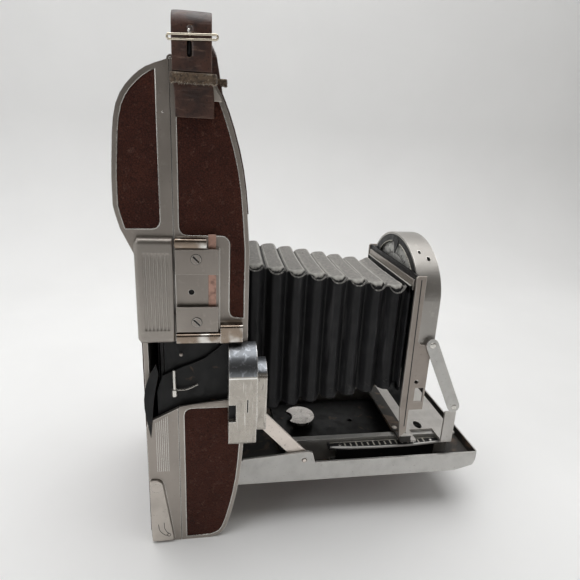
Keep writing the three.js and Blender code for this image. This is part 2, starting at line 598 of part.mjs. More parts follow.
const frameOpening = alongY(roundRect(-37, 84, 37, 152, 2), -160, -130);
const cheekOutline = [
  [-137, 54.5], [-135, STANDARD.bottom], [-135, STANDARD.top - 1], [-136, STANDARD.top], [-141, STANDARD.top],
  [-141, 121], [-143, 119], [-150, 118], [-150, STANDARD.bottom], [-141, STANDARD.bottom], [-141, 57.5],
];
const cheek = (side) => cut(
  alongX(cheekOutline, ...span(side, STANDARD.cheekIn, STANDARD.cheekOut)),
  alongX(circle(-143.5, 93.6, 1.5, 12), -60, 60),
  box(-60, 60, -149, -143.2, 79.5, 89.4),
);
const standardFrame = join(
  cut(box(-43.7, 43.7, STANDARD.back - 1.5, STANDARD.back, STANDARD.bottom, STANDARD.top), frameOpening),
  mirrored(cheek),
);
part('standard_frame', standardFrame, aluminium(), standard);

const shutterOutline = (inset, steps) => [
  ...arc(0, SHUTTER.archZ, SHUTTER.half - inset, 0, 180, steps, SHUTTER.arch - inset),
  ...arc(0, SHUTTER.chinZ, SHUTTER.half - inset, 180, 360, steps, SHUTTER.chin - inset),
];
const LENS_HOLE = 14;
const shutterHousing = cut(
  alongY(shutterOutline(0, 24), SHUTTER.front, SHUTTER.back),
  alongY(shutterOutline(1.4, 24), SHUTTER.front + 1.4, SHUTTER.back + 1),
  alongY(circle(0, LENS_Z, LENS_HOLE, 28), -160, -130),
  box(30, 46, -147, -143, 156, 170),
  alongX(circle(-143, 172, 0.9, 8), -60, 0),
  alongX(circle(-147.5, 169, 1.2, 8), -60, 0),
);
part('shutter_housing', shutterHousing, aluminium(), standard);

// Dial plate behind the housing: the arched upper part of its outline, with a window.
const above = (z) => box(-60, 60, -160, -130, z, 200);
const dialPlate = cut(
  alongY(shutterOutline(1.7, 24), SHUTTER.back - 1.1, SHUTTER.back - 0.1),
  alongY(shutterOutline(6.6, 24), -160, -130).intersect(above(158)),
).intersect(above(152.5));
part('dial_plate', dialPlate, black(), standard);

const scaleFace = alongY(shutterOutline(2, 24), -140.2, -139.2).intersect(above(154));
part('exposure_scale', scaleFace, aluminium(), standard);
part('scale_bar', box(-41, 41, STANDARD.back + 0.1, STANDARD.back + 1.2, 152.6, 159), satin(), standard);

const lensProfile = [
  [0, -150.6], [12.5, -150.6], [12.5, SHUTTER.front - 0.1], [13.3, SHUTTER.front - 0.1], [13.3, -158],
  [12, -159], [10.4, -159], [9.6, -156.4], [0, -156.4],
];
part('lens_barrel', turnedAboutY(lensProfile, 0, LENS_Z), black(), standard);
const glassProfile = [[0, -156.5], [9.3, -156.5], [9.3, -157], [6, -157.9], [0, -158.4]];
part('lens_glass', turnedAboutY(glassProfile, 0, LENS_Z, 24), glass(), standard);

const dial = new THREE.Group();
camera.add(dial);
const dialProfile = [
  [13.7, -152.7], [18.4, -152.7], [18.4, -155], [17.6, -155.4], [13.7, -155.4], [13.7, -152.7],
];
const dialRing = turnedAboutY(dialProfile, 0, LENS_Z, 36);
part('exposure_dial', dialRing, chrome(), dial);

const release = new THREE.Group();
camera.add(release);
const releaseArm = join(
  box(20, 44, -145.6, -144.4, 161, 165),
  box(42.5, 44, -146.4, -143.6, 160, 166),
  alongY(circle(20, 163, 3.2, 12), -145.6, -144.4),
);
part('shutter_release', releaseArm, steel(), release);

// Bellows: a tapering box, open at both ends, wider at the case than at the lens.
const BELLOWS = { rear: 5.8, front: -134.4, rearHalf: 43.5, frontHalf: 40 };
const tube = (inset) => {
  const shape = (half, low, high) => [[-half, low], [half, low], [half, high], [-half, high]];
  const rear = shape(BELLOWS.rearHalf - inset, 70 + inset, 170 - inset);
  const front = shape(BELLOWS.frontHalf - inset, 86 + inset, 153 - inset);
  const reach = inset ? 1 : 0;
  const corners = [
    ...rear.map(([x, z]) => [x, BELLOWS.rear + reach, z]),
    ...front.map(([x, z]) => [x, BELLOWS.front - reach, z]),
  ];
  const faces = [
    0, 2, 1, 0, 3, 2, 4, 5, 6, 4, 6, 7, 0, 1, 5, 0, 5, 4,
    1, 2, 6, 1, 6, 5, 2, 3, 7, 2, 7, 6, 3, 0, 4, 3, 4, 7,
  ];
  const geometry = new THREE.BufferGeometry();
  geometry.setAttribute('position', new THREE.BufferAttribute(Float32Array.from(corners.flat()), 3));
  geometry.setIndex(faces);
  return solid(geometry);
};
part('bellows', cut(tube(0), tube(2.5)), bellowsCloth(), standard);

const braces = new THREE.Group();
camera.add(braces);
for (const side of [-1, 1]) {
  const label = side < 0 ? 'near' : 'far';
  const brace = part(
    `standard_brace_${label}`,
    bar(BRACE.length, BRACE.width, ...span(side, BRACE.in, BRACE.out)),
    satin(), braces,
  );
  brace.position.set(0, BRACE.pivotY, BRACE.pivotZ);
  brace.rotation.x = radians(BRACE.tilt);
}

export default camera;
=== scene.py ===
"""Looks of a folding roll-film camera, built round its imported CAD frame.

Lengths are in millimetres (X across, -Y to the subject, Z up) and are turned into metres by MM where a mesh
is made. CAD nodes keep their meshes and get bevelled edges and finishes; leather, straps, grip and bellows
are new meshes that stand for the plain CAD solids.
"""

import random
from math import copysign, cos, hypot, pi, radians, sin, sqrt

import bmesh
import bpy
from mathutils import Matrix, Vector, noise


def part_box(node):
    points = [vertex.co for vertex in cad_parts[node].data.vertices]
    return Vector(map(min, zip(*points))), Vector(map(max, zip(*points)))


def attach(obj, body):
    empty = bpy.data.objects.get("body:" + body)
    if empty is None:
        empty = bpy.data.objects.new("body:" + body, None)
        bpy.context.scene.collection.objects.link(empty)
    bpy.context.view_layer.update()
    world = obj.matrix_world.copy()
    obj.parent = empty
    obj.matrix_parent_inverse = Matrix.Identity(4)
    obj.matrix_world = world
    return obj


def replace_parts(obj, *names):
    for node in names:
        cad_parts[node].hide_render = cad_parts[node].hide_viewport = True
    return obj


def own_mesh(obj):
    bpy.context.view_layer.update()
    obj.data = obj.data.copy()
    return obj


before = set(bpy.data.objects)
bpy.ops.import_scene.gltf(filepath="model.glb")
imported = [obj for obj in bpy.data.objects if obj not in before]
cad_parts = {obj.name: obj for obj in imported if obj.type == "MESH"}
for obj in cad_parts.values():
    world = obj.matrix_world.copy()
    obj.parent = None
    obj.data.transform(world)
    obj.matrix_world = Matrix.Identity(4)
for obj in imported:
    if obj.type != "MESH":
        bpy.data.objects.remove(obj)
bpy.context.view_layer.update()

MM = 0.001
SEED = 11
BODY = "camera_body"


# ---- materials
MATERIALS = {}


class Nodes:
    def __init__(self, owner):
        owner.use_nodes = True
        self.nodes, self.links = owner.node_tree.nodes, owner.node_tree.links

    def put(self, socket, source):
        if isinstance(source, bpy.types.NodeSocket):
            self.links.new(source, socket)
        elif isinstance(source, tuple) and len(socket.default_value) == 4:
            socket.default_value = (*source, 1)
        else:
            socket.default_value = source

    def node(self, kind, given=None, output=0, **settings):
        """Adds a node and returns one output: given fills its inputs by name or number."""
        added = self.nodes.new("ShaderNode" + kind)
        for name, setting in settings.items():
            setattr(added, name, setting)
        for key, source in (given or {}).items():
            self.put(added.inputs[key], source)
        return added.outputs[output]


class Finish(Nodes):
    """A Principled material whose textures are laid out in millimetres of the object's own frame."""

    def __init__(self, name, colour, roughness, metallic=0.0):
        self.name, self.material = name, bpy.data.materials.new(name)
        super().__init__(self.material)
        self.shader = self.nodes["Principled BSDF"]
        self.place = self.vector("MULTIPLY", self.node("TexCoord", output="Object"), (1 / MM,) * 3)
        self.colour = self.node("RGB")
        self.put(self.colour, colour)
        self.roughness = self.node("Value")
        self.put(self.roughness, roughness)
        self.normal = None
        self.shader.inputs["Metallic"].default_value = metallic

    def vector(self, operation, a, b):
        output = "Value" if operation == "DOT_PRODUCT" else "Vector"
        return self.node("VectorMath", {0: a, 1: b}, output, operation=operation)

    def math(self, operation, a, b=0.0, clamp=True):
        return self.node("Math", {0: a, 1: b}, operation=operation, use_clamp=clamp)

    def remap(self, source, low, high, to_low=0.0, to_high=1.0):
        given = dict(enumerate((source, low, high, to_low, to_high)))
        return self.node("MapRange", given, interpolation_type="SMOOTHSTEP")

    def noise(self, size, low=0.3, high=0.7, detail=4, warp=0, stretch=(1, 1, 1)):
        """Cloudy noise between 0 and 1 with features of that size in millimetres."""
        place = self.vector("MULTIPLY", self.place, stretch)
        given = {"Vector": place, "Scale": 1 / size, "Detail": detail, "Distortion": warp}
        return self.remap(self.node("TexNoise", given), low, high)

    def cells(self, size):
        """Distance to the nearest edge of a pattern of cells of that size."""
        given = {"Vector": self.place, "Scale": 1 / size}
        return self.node("TexVoronoi", given, "Distance", feature="DISTANCE_TO_EDGE")

    def mask(self, given):
        """What tint, gloss and bump take: a mask, or a tuple of arguments for noise."""
        return self.noise(*given) if isinstance(given, tuple) else given

    def tint(self, factor, colour, share=1.0):
        """Mixes in a colour where factor is high; share, a number or a second mask, weakens it."""
        factor = self.mask(factor)
        if share != 1.0:
            factor = self.math("MULTIPLY", factor, self.mask(share))
        self.colour = self.node("Mix", {0: factor, 6: self.colour, 7: colour}, 2, data_type="RGBA")

    def gloss(self, factor, roughness):
        self.roughness = self.node("Mix", {0: self.mask(factor), 2: self.roughness, 3: roughness})

    def shape(self, output):
        return self.node("NewGeometry", output=output)

    def edges(self, radius, low=0.02, high=0.16):
        """1 along convex edges, within about that radius, and 0 on open faces."""
        rounded = self.node("Bevel", {"Radius": radius * MM}, samples=4)
        flat = self.vector("DOT_PRODUCT", rounded, self.shape("Normal"))
        return self.remap(self.math("SUBTRACT", 1.0, flat), low, high)

    def along(self, axis):
        """Place along X, Y or Z in millimetres."""
        return self.node("SeparateXYZ", {0: self.place}, axis)

    def within(self, low, high):
        """1 inside a box given by two corners in millimetres, 0 outside it."""
        mask = None
        for axis, a, b in zip("XYZ", low, high):
            above = self.remap(self.along(axis), a - 0.05, a + 0.05)
            below = self.remap(self.along(axis), b - 0.05, b + 0.05, 1.0, 0.0)
            both = self.math("MULTIPLY", above, below)
            mask = both if mask is None else self.math("MULTIPLY", mask, both)
        return mask

    def facing_up(self, low, high):
        return self.remap(self.vector("DOT_PRODUCT", self.shape("Normal"), (0, 0, 1)), low, high)

    def convexity(self, low, high, to_low=0.0, to_high=1.0):
        """Mask of how convex a mesh is: 0.5 on a flat stretch, more on a ridge and less in a crease."""
        return self.remap(self.shape("Pointiness"), low, high, to_low, to_high)

    def bump(self, height, depth, strength=1.0):
        """Depth in millimetres."""
        given = {"Height": self.mask(height), "Distance": depth * MM, "Strength": strength}
        if self.normal is not None:
            given["Normal"] = self.normal
        self.normal = self.node("Bump", given)

    def done(self, **inputs):
        inputs.update(Base_Color=self.colour, Roughness=self.roughness)
        if self.normal is not None:
            inputs["Normal"] = self.normal
        for name, given in inputs.items():
            self.put(self.shader.inputs[name.replace("_", " ")], given)
        MATERIALS[self.name] = self.material


def shade(colour, share):
    return tuple(share * c for c in colour)


def satin_metal(name, colour, grain=(1, 1, 0.03)):
    """Satin plating, finely brushed, brighter where hands and edges have worn it."""
    f = Finish(name, colour, 0.36, 0.92)
    f.tint((45, 0.35, 0.7), shade(colour, 0.86))
    f.tint((3.0, 0.55, 0.85, 6), shade(colour, 1.12))
    f.tint((1.2, 0.66, 0.74), (0.2, 0.18, 0.16), 0.5)
    f.gloss((12, 0.3, 0.75), 0.48)
    worn = f.edges(0.6)
    f.tint(worn, (0.8, 0.77, 0.73))
    f.gloss(worn, 0.24)
    f.bump((0.5, 0.2, 0.8, 3, 0, grain), 0.03, 0.7)
    f.bump((14, 0.2, 0.8), 0.1, 0.3)
    f.done()


def bright_plate(name, colour, roughness):
    """Polished plating with faint scratches and dulled patches."""
    f = Finish(name, colour, roughness, 1.0)
    f.tint((7, 0.55, 0.8), shade(colour, 0.72))
    f.gloss((5, 0.45, 0.8, 6), roughness + 0.16)
    f.tint((0.7, 0.66, 0.72), (0.22, 0.2, 0.18))
    f.bump((0.6, 0.6, 0.7, 4, 0, (1, 0.06, 1)), 0.02, 0.5)
    f.bump((9, 0.2, 0.8), 0.08, 0.35)
    f.done()


def worn_aluminium(name, colour, shoulder=None):
    """Bare aluminium, scratched and stained, with a painted dark blue-grey reflection above the shoulder
    height and a painted highlight line just below it.
    """
    f = Finish(name, colour, 0.24, 0.95)
    f.tint((5, 0.5, 0.75, 7, 0.6, (1, 1, 0.5)), shade(colour, 0.78))
    f.tint((1.6, 0.62, 0.7, 6, 0, (1, 1, 0.3)), (0.22, 0.21, 0.2), 0.55)
    f.tint((0.9, 0.62, 0.68, 4, 0, (1, 1, 0.05)), (0.86, 0.84, 0.8), 0.6)
    f.gloss((5, 0.4, 0.7, 6, 0.5), 0.4)
    if shoulder:
        # Painted reflection: dark, mottled blue-grey above the shoulder, where the curved top would reflect
        # the light
        above = f.remap(f.along("Z"), shoulder, shoulder + 1.0)
        f.tint(above, (0.15, 0.165, 0.185), 0.9)
        f.tint(above, (0.34, 0.36, 0.39), (2.6, 0.5, 0.68, 6, 0.8))
        f.gloss(above, 0.34)
        # Painted highlight: a near-white line just under the shoulder
        lip = f.within((-80, -60, shoulder - 0.75), (80, 40, shoulder - 0.05))
        f.tint(lip, (0.93, 0.92, 0.89))
    worn = f.edges(0.8)
    f.tint(worn, (0.9, 0.88, 0.84))
    f.gloss(worn, 0.22)
    f.bump((0.8, 0.55, 0.72, 4, 0, (1, 1, 0.1)), 0.04, 0.7)
    f.done()


def pale_aluminium(name, colour, black_within=0.0, dark_box=None):
    """Matte stampings with handling marks, black up to a half-width or black with brown patches in a box.
    """
    f = Finish(name, colour, 0.4, 0.85)
    f.tint((10, 0.4, 0.75, 5), shade(colour, 0.86))
    f.tint((1.3, 0.64, 0.72), (0.25, 0.22, 0.19), 0.5)
    f.gloss((6, 0.35, 0.7), 0.52)
    worn = f.edges(0.5)
    f.tint(worn, (0.84, 0.78, 0.72))
    f.gloss(worn, 0.24)
    f.bump((0.5, 0.3, 0.75, 4, 0, (1, 0.06, 0.3)), 0.03, 0.5)
    if dark_box:
        inside = f.within(*dark_box)
        f.tint(inside, (0.03, 0.026, 0.022))
        f.tint(inside, (0.13, 0.085, 0.055), (9, 0.5, 0.68, 6, 0.5))
        f.gloss(inside, 0.6)
        f.put(f.shader.inputs["Metallic"], f.math("SUBTRACT", 0.9, inside))
    if black_within:
        across = f.math("MULTIPLY", f.along("X"), 1 / black_within, clamp=False)
        inside = f.remap(f.math("ABSOLUTE", across, clamp=False), 0.999, 1.001, 1.0, 0.0)
        f.tint(inside, (0.012, 0.012, 0.013))
        f.shader.inputs["Metallic"].default_value = 0.6
    f.done()


BED_INSIDE = ((-49.6, -190.9, 31.5), (49.6, -20, 42.4))  # black with brown patches inside the bed's tray and on the carriage behind the standard
CARRIAGE_REAR = ((-50, -146.4, 40), (50, -130, 53))  # and on the carriage behind the standard
DULL_ALUMINIUM = (0.56, 0.55, 0.53)
satin_metal("satin_metal", (0.375, 0.338, 0.305))
satin_metal("grip_metal", (0.36, 0.33, 0.3))
satin_metal("housing_metal", (0.43, 0.41, 0.385), (1, 0.03, 1))
bright_plate("chrome", (0.8, 0.78, 0.74), 0.13)
bright_plate("steel", (0.7, 0.68, 0.64), 0.24)
bright_plate("brass", (0.78, 0.71, 0.58), 0.16)
worn_aluminium("worn_aluminium", (0.6, 0.57, 0.54))
# the finder gets the painted reflection and the painted highlight line at its shoulder
worn_aluminium("finder_metal", (0.47, 0.435, 0.39), shoulder=115.8)
pale_aluminium("pale_aluminium", (0.6, 0.55, 0.5))
pale_aluminium("bed_aluminium", DULL_ALUMINIUM)
pale_aluminium("tray_aluminium", DULL_ALUMINIUM, dark_box=BED_INSIDE)
pale_aluminium("carriage_metal", (0.52, 0.5, 0.475), dark_box=CARRIAGE_REAR)
pale_aluminium("strut_metal", (0.88, 0.8, 0.73))
pale_aluminium("frame_aluminium", (0.37, 0.325, 0.29), black_within=43.2)

# Chrome bars with brownish haze between bright ends
f = Finish("bar_chrome", (0.74, 0.72, 0.68), 0.16, 1.0)
f.tint((11, 0.4, 0.58, 2), (0.3, 0.24, 0.19))
f.gloss((8, 0.4, 0.7), 0.3)
f.tint((0.9, 0.62, 0.74, 5), (0.16, 0.14, 0.12))
f.tint(f.edges(0.4), (0.9, 0.88, 0.85))
f.bump((0.6, 0.5, 0.7, 4, 0, (1, 0.06, 1)), 0.02, 0.5)
f.done()

# Embossed covering, crossed by creases and rubbed lighter on its high spots
f = Finish("leatherette", (0.082, 0.026, 0.016), 0.55)
f.tint((22, 0.35, 0.7), (0.056, 0.017, 0.011))
f.tint((2.4, 0.55, 0.75, 6, 0.8), (0.12, 0.055, 0.04))
grain = f.remap(f.cells(1.05), 0.0, 0.22)
f.tint(f.math("SUBTRACT", 0.7, grain), (0.018, 0.007, 0.006))
f.gloss((3.2, 0.35, 0.75), 0.66)
f.bump(grain, 0.12, 0.8)
f.bump((1.8, 0.35, 0.65, 6, 1.4), 0.22, 0.7)
f.bump((7, 0.3, 0.7), 0.3, 0.4)
f.done(Specular_IOR_Level=0.13)

# Smooth strap leather with cracks and raw tan edges
f = Finish("strap_leather", (0.078, 0.034, 0.023), 0.4)
f.tint((7, 0.4, 0.65, 5, 0.5), (0.036, 0.018, 0.014))
f.tint((1.8, 0.56, 0.74, 6, 0, (1, 0.25, 1)), (0.13, 0.075, 0.055))
f.tint((0.8, 0.6, 0.68), (0.016, 0.009, 0.008))
f.tint(f.edges(0.55, 0.03, 0.2), (0.3, 0.17, 0.09), (1.1, 0.3, 0.6))
f.gloss((4, 0.4, 0.8), 0.6)
f.bump((0.5, 0.3, 0.7), 0.05, 0.6)
f.bump((3, 0.5, 0.75, 5, 0, (1, 0.2, 1)), 0.15, 0.6)
f.done(Coat_Weight=0.12, Coat_Roughness=0.35)

# Frayed tan flesh side of the leather
f = Finish("raw_leather", (0.13, 0.085, 0.05), 0.85)
f.tint((1.4, 0.4, 0.65, 6), (0.05, 0.032, 0.02))
f.tint((0.5, 0.6, 0.72), (0.4, 0.31, 0.22))
f.tint(f.edges(0.7, 0.03, 0.2), (0.52, 0.44, 0.34))
f.bump((0.45, 0.2, 0.8, 6, 0, (1, 1, 0.4)), 0.25, 0.9)
f.done(Sheen_Weight=0.3)

# Black leathercloth, dusty where it faces up, with a painted highlight along the upward ridges of the folds
# and painted shade in the side creases
f = Finish("bellows_cloth", (0.008, 0.008, 0.0095), 0.62)
f.tint((9, 0.4, 0.75, 5), (0.015, 0.015, 0.0165))
f.tint((5, 0.56, 0.72, 6, 0, (1, 1, 0.12)), (0.045, 0.044, 0.046))
dust = f.math("MULTIPLY", f.facing_up(0.3, 0.75), f.noise(2.2, 0.05, 0.5, detail=6))
f.tint(dust, (0.23, 0.222, 0.21))
f.tint(f.facing_up(0.1, 0.5), (0.3, 0.285, 0.26), (1.4, 0.5, 0.62, 5))
# Painted highlight: lighter along the convex ridges that face up
f.tint(f.facing_up(0.3, 0.75), (0.42, 0.41, 0.38), f.convexity(0.505, 0.535))
# Painted shade: near black in the creases of the sideways faces
f.tint(f.facing_up(-0.2, 0.2), (0.02,) * 3, f.convexity(0.44, 0.49, 1.0, 0.0))
f.gloss(dust, 0.9)
f.bump(f.remap(f.cells(0.7), 0.0, 0.25), 0.05, 0.6)
f.bump((3, 0.3, 0.7, 4, 0, (1, 1, 0.3)), 0.15, 0.5)
f.done(Specular_IOR_Level=0.4)

# Black enamel, worn through to a brown primer in places
f = Finish("black_paint", (0.008, 0.008, 0.0085), 0.38)
f.tint((14, 0.35, 0.7), (0.014, 0.014, 0.0145))
f.tint((9, 0.63, 0.72, 7, 0.5), (0.085, 0.055, 0.035))
f.gloss((5, 0.35, 0.75), 0.58)
f.tint(f.edges(0.35, 0.05, 0.25), (0.16, 0.15, 0.14))
f.bump((0.6, 0.3, 0.7), 0.03, 0.5)
f.done(Specular_IOR_Level=0.28)

# Tarnished copper contacts
f = Finish("copper", (0.5, 0.31, 0.25), 0.34, 0.95)
f.tint((3, 0.42, 0.7, 6), (0.27, 0.17, 0.14))
f.tint(f.edges(0.5), (0.72, 0.5, 0.42))
f.gloss((2, 0.4, 0.7), 0.5)
f.bump((0.4, 0.3, 0.7, 4, 0, (1, 1, 0.1)), 0.02, 0.5)
f.done()

# Lens glass over a dark barrel, with a faint blue-violet coating
f = Finish("lens_glass", (0.006, 0.007, 0.01), 0.04)
facing = f.node("LayerWeight", {"Blend": 0.4}, "Facing")
f.tint(f.remap(facing, 0.2, 0.9), (0.05, 0.035, 0.1))
f.gloss((4, 0.6, 0.8), 0.12)
f.done(Coat_Weight=1.0, Coat_Roughness=0.02, Specular_IOR_Level=0.7)

PAPER = (0.9, 0.9, 0.895)
f = Finish("pale_paper", PAPER, 0.8)
f.tint((180, 0.3, 0.7), shade(PAPER, 0.97))
f.done(Specular_IOR_Level=0.2)

# Pale grey printed dial, foxed and scuffed
f = Finish("dial_face", (0.62, 0.62, 0.59), 0.4, 0.25)
f.tint((4, 0.45, 0.7, 6), (0.4, 0.405, 0.38))
f.tint((1.1, 0.6, 0.72, 5), (0.8, 0.8, 0.77))
f.bump((0.6,), 0.03, 0.5)
f.done()

# Pale loose leather fibres
f = Finish("frayed_edge", (0.42, 0.34, 0.25), 0.9)
f.tint((0.6, 0.4, 0.65), (0.62, 0.54, 0.44))
f.tint((1.5, 0.5, 0.7), (0.22, 0.16, 0.11))
f.bump((0.3,), 0.1, 0.7)
f.done(Sheen_Weight=0.3)

# Dusty, rubbed ends of the bellows folds
f = Finish("fold_edge", (0.16, 0.155, 0.145), 0.85)
f.tint((1.6, 0.45, 0.7, 5), (0.05, 0.05, 0.05))
f.tint((0.9, 0.5, 0.66, 5), (0.36, 0.35, 0.33))
f.bump((0.6,), 0.1, 0.7)
f.done(Specular_IOR_Level=0.3)

# Cream paint in engraved marks, chipped in places
f = Finish("scale_ink", (0.56, 0.54, 0.47), 0.6)
f.tint((0.9, 0.5, 0.65, 5), (0.2, 0.19, 0.17))
f.bump((0.4,), 0.03, 0.5)
f.done()


# ---- mesh helpers
def add(name, data):
    added = bpy.data.objects.new(name, data)
    bpy.context.scene.collection.objects.link(added)
    return added


def link(name, bm):
    """A new object in the scene with that mesh, turned from millimetres into metres."""
    bmesh.ops.recalc_face_normals(bm, faces=bm.faces)
    bmesh.ops.scale(bm, vec=(MM,) * 3, verts=bm.verts)
    mesh = bpy.data.meshes.new(name)
    bm.to_mesh(mesh)
    bm.free()
    return add(name, mesh)


def set_smooth(piece, smooth=True):
    for face in piece.data.polygons:
        face.use_smooth = smooth


def place(name, bm, material, body=BODY, smooth=True):
    """Puts a finished piece in the scene, riding on a body."""
    piece = link(name, bm)
    piece.data.materials.append(MATERIALS[material])
    set_smooth(piece, smooth)
    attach(piece, body)
    return piece


def share(part):
    return max(0.0, min(1.0, part))


def ripple(x, y, z):
    return noise.noise(Vector((x, y, z)))


def ring_tube(rings, closed_ends=True, into=None):
    """A skin over a row of rings of equally many points, added to a mesh if one is given."""
    bm = bmesh.new() if into is None else into
    rows = [[bm.verts.new(p) for p in ring] for ring in rings]
    count = len(rings[0])
    for row, following in zip(rows, rows[1:]):
        for i in range(count):
            j = (i + 1) % count
            bm.faces.new((row[i], row[j], following[j], following[i]))
    if closed_ends:
        bm.faces.new(rows[0])
        bm.faces.new(rows[-1])
    return bm


def modifier(piece, kind, **settings):
    added = piece.modifiers.new(kind.lower(), kind)
    for name, given in settings.items():
        setattr(added, name, given)


def apply_modifiers(piece):
    """Makes the modified shape the piece's own mesh."""
    graph = bpy.context.evaluated_depsgraph_get()
    graph.update()
    mesh = bpy.data.meshes.new_from_object(piece.evaluated_get(graph))
    piece.modifiers.clear()
    piece.data = mesh


def soften(piece, width):
    """Rounds a hard-edged piece without touching its own mesh."""
    set_smooth(piece)
    modifier(piece, "WELD", merge_threshold=0.002 * MM)
    modifier(piece, "DECIMATE", decimate_type="DISSOLVE", angle_limit=radians(0.6))
    modifier(piece, "BEVEL", width=width * MM, segments=2, limit_method="ANGLE",
             angle_limit=radians(32), miter_outer="MITER_ARC", use_clamp_overlap=True)
    modifier(piece, "WEIGHTED_NORMAL", keep_sharp=False, weight=80)


def block(low, high, bevel):
    bm = bmesh.new()
    bmesh.ops.create_cube(bm, size=1)
    for vert in bm.verts:
        for axis in range(3):
            middle = (low[axis] + high[axis]) / 2
            vert.co[axis] = middle + vert.co[axis] * (high[axis] - low[axis])
    bmesh.ops.bevel(bm, geom=bm.edges[:], offset=bevel, segments=2, profile=0.6, affect="EDGES")
    return bm


def circle(centre, side, other, radius, sides):
    turn = [2 * pi * k / sides for k in range(sides)]
    return [centre + (side * cos(t) + other * sin(t)) * radius for t in turn]


def turned(centre, axis, profile, sides):
    """A solid of revolution: profile lists (radius, distance along the axis), ends on the axis."""
    side = axis.orthogonal().normalized()
    other = axis.cross(side)
    return ring_tube([circle(centre + axis * along, side, other, max(radius, 0.01), sides)
                      for radius, along in profile])


def wire(points, radius, closed=False, sides=10):
    points = [Vector(p) for p in points]
    rings = []
    count = len(points)
    reference = None
    for i, point in enumerate(points):
        before = points[i - 1] if closed or i else point
        after = points[(i + 1) % count] if closed or i < count - 1 else point
        tangent = (after - before).normalized()
        if reference is None:
            reference = tangent.orthogonal()
        reference = (reference - tangent * reference.dot(tangent)).normalized()
        rings.append(circle(point, reference, tangent.cross(reference), radius, sides))
    bm = ring_tube(rings, closed_ends=not closed)
    if closed:
        bm.verts.ensure_lookup_table()
        last = (count - 1) * sides
        for k in range(sides):
            m = (k + 1) % sides
            bm.faces.new([bm.verts[n] for n in (last + k, last + m, m, k)])
    return bm


def lay(name, points, radius, material, body=BODY, **shape):
    return place(name, wire(points, radius, **shape), material, body)


def add_box(bm, corners):
    """Adds a box: the four corners of one side, then the four opposite ones."""
    verts = [bm.verts.new(corner) for corner in corners]
    for face in ((0, 1, 2, 3), (4, 5, 6, 7), (0, 1, 5, 4), (1, 2, 6, 5), (2, 3, 7, 6), (3, 0, 4, 7)):
        bm.faces.new([verts[i] for i in face])


def add_tick(bm, centre, angle, reach, half, depths, squash=1.0):
    """Adds a radial tick of a dial that faces along Y: reach and depths are (from, to)."""
    radial = Vector((cos(angle), 0, sin(angle) * squash))
    side = Vector((-sin(angle), 0, cos(angle)))
    inner, outer = reach
    around = ((inner, -half), (outer, -half), (outer, half), (inner, half))
    flat = [centre + radial * r + side * s for r, s in around]
    add_box(bm, [p + Vector((0, d, 0)) for d in depths for p in flat])


def corners(node):
    """Lowest and highest corner of a CAD node, in millimetres."""
    return [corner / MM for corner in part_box(node)]


def arc(a, b, radius, start, end, steps, radius_b=None):
    turn = [radians(start + (end - start) * i / steps) for i in range(steps + 1)]
    return [(a + radius * cos(t), b + (radius_b or radius) * sin(t)) for t in turn]


def smooth_path(points, steps):
    """A Catmull-Rom line through 3-D points."""
    points = [Vector(p) for p in points]
    padded = [points[0] * 2 - points[1], *points, points[-1] * 2 - points[-2]]
    line = []
    for p0, p1, p2, p3 in zip(padded, padded[1:], padded[2:], padded[3:]):
        for i in range(steps):
            t = i / steps
            line.append(((p1 * 2) + (p2 - p0) * t + (p0 * 2 - p1 * 5 + p2 * 4 - p3) * t * t
                         + (p1 * 3 - p0 - p2 * 3 + p3) * t * t * t) / 2)
    line.append(points[-1])
    return line


# ---- carried-over CAD nodes
FINISHES = {  # the CAD nodes that keep their meshes
    "satin_metal": "front_case back_door shoe_jaw_upper shoe_jaw_lower scale_bar shoe_screw_upper "
                   "shoe_screw_lower",
    "carriage_metal": "carriage_plate",
    "tray_aluminium": "bed_tray",
    "bar_chrome": "shoe_bar_upper shoe_bar_lower",
    "chrome": "exposure_dial focus_lever",
    "steel": "tripod_bush door_hinge_pin bed_hinge_pin trap_spring spreader_roller_inner "
             "spreader_roller_outer shutter_release",
    "worn_aluminium": "infinity_catch",
    "finder_metal": "viewfinder_housing viewfinder_frame",
    "dial_face": "exposure_scale",
    "housing_metal": "shutter_housing",
    "frame_aluminium": "standard_frame",
    "bed_aluminium": "focus_rail_near focus_rail_far standard_brace_near standard_brace_far",
    "strut_metal": "bed_strut_near bed_strut_far",
    "pale_aluminium": "door_latch_lever",
    "black_paint": "light_chamber film_gate supply_spool negative_spool light_trap_sheet trap_flap "
                   "pressure_plate bed_floor_plate distance_scale dial_plate lens_barrel",
    "copper": "contact_strip",
    "lens_glass": "viewfinder_lens lens_glass",
}
FINE_EDGE = 0.22
EDGE_WIDTHS = {0.7: "viewfinder_housing", 0.6: "front_case back_door shutter_housing",
               0.5: "shoe_bar_upper shoe_bar_lower viewfinder_frame", 0.4: "bed_tray door_latch_lever",
               0.3: "shoe_jaw_upper shoe_jaw_lower"}


def finish_cad_nodes():
    widths = {name: width for width, names in EDGE_WIDTHS.items() for name in names.split()}
    for finish, names in FINISHES.items():
        for name in names.split():
            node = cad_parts[name]
            node.data.materials.clear()
            node.data.materials.append(MATERIALS[finish])
            soften(node, widths.get(name, FINE_EDGE))


# ---- leather covering
def panel_lip(name, face, body):
    """The bright rolled lip of bare metal round one near-side panel."""
    middle = face.calc_center_median()
    points = []
    for vert in face.verts:
        away = (vert.co - middle).normalized() * 0.15
        points.append((vert.co.x + 0.02, vert.co.y + away.y, vert.co.z + away.z))
    lay(name, points, 0.24, "steel", body, closed=True, sides=8)


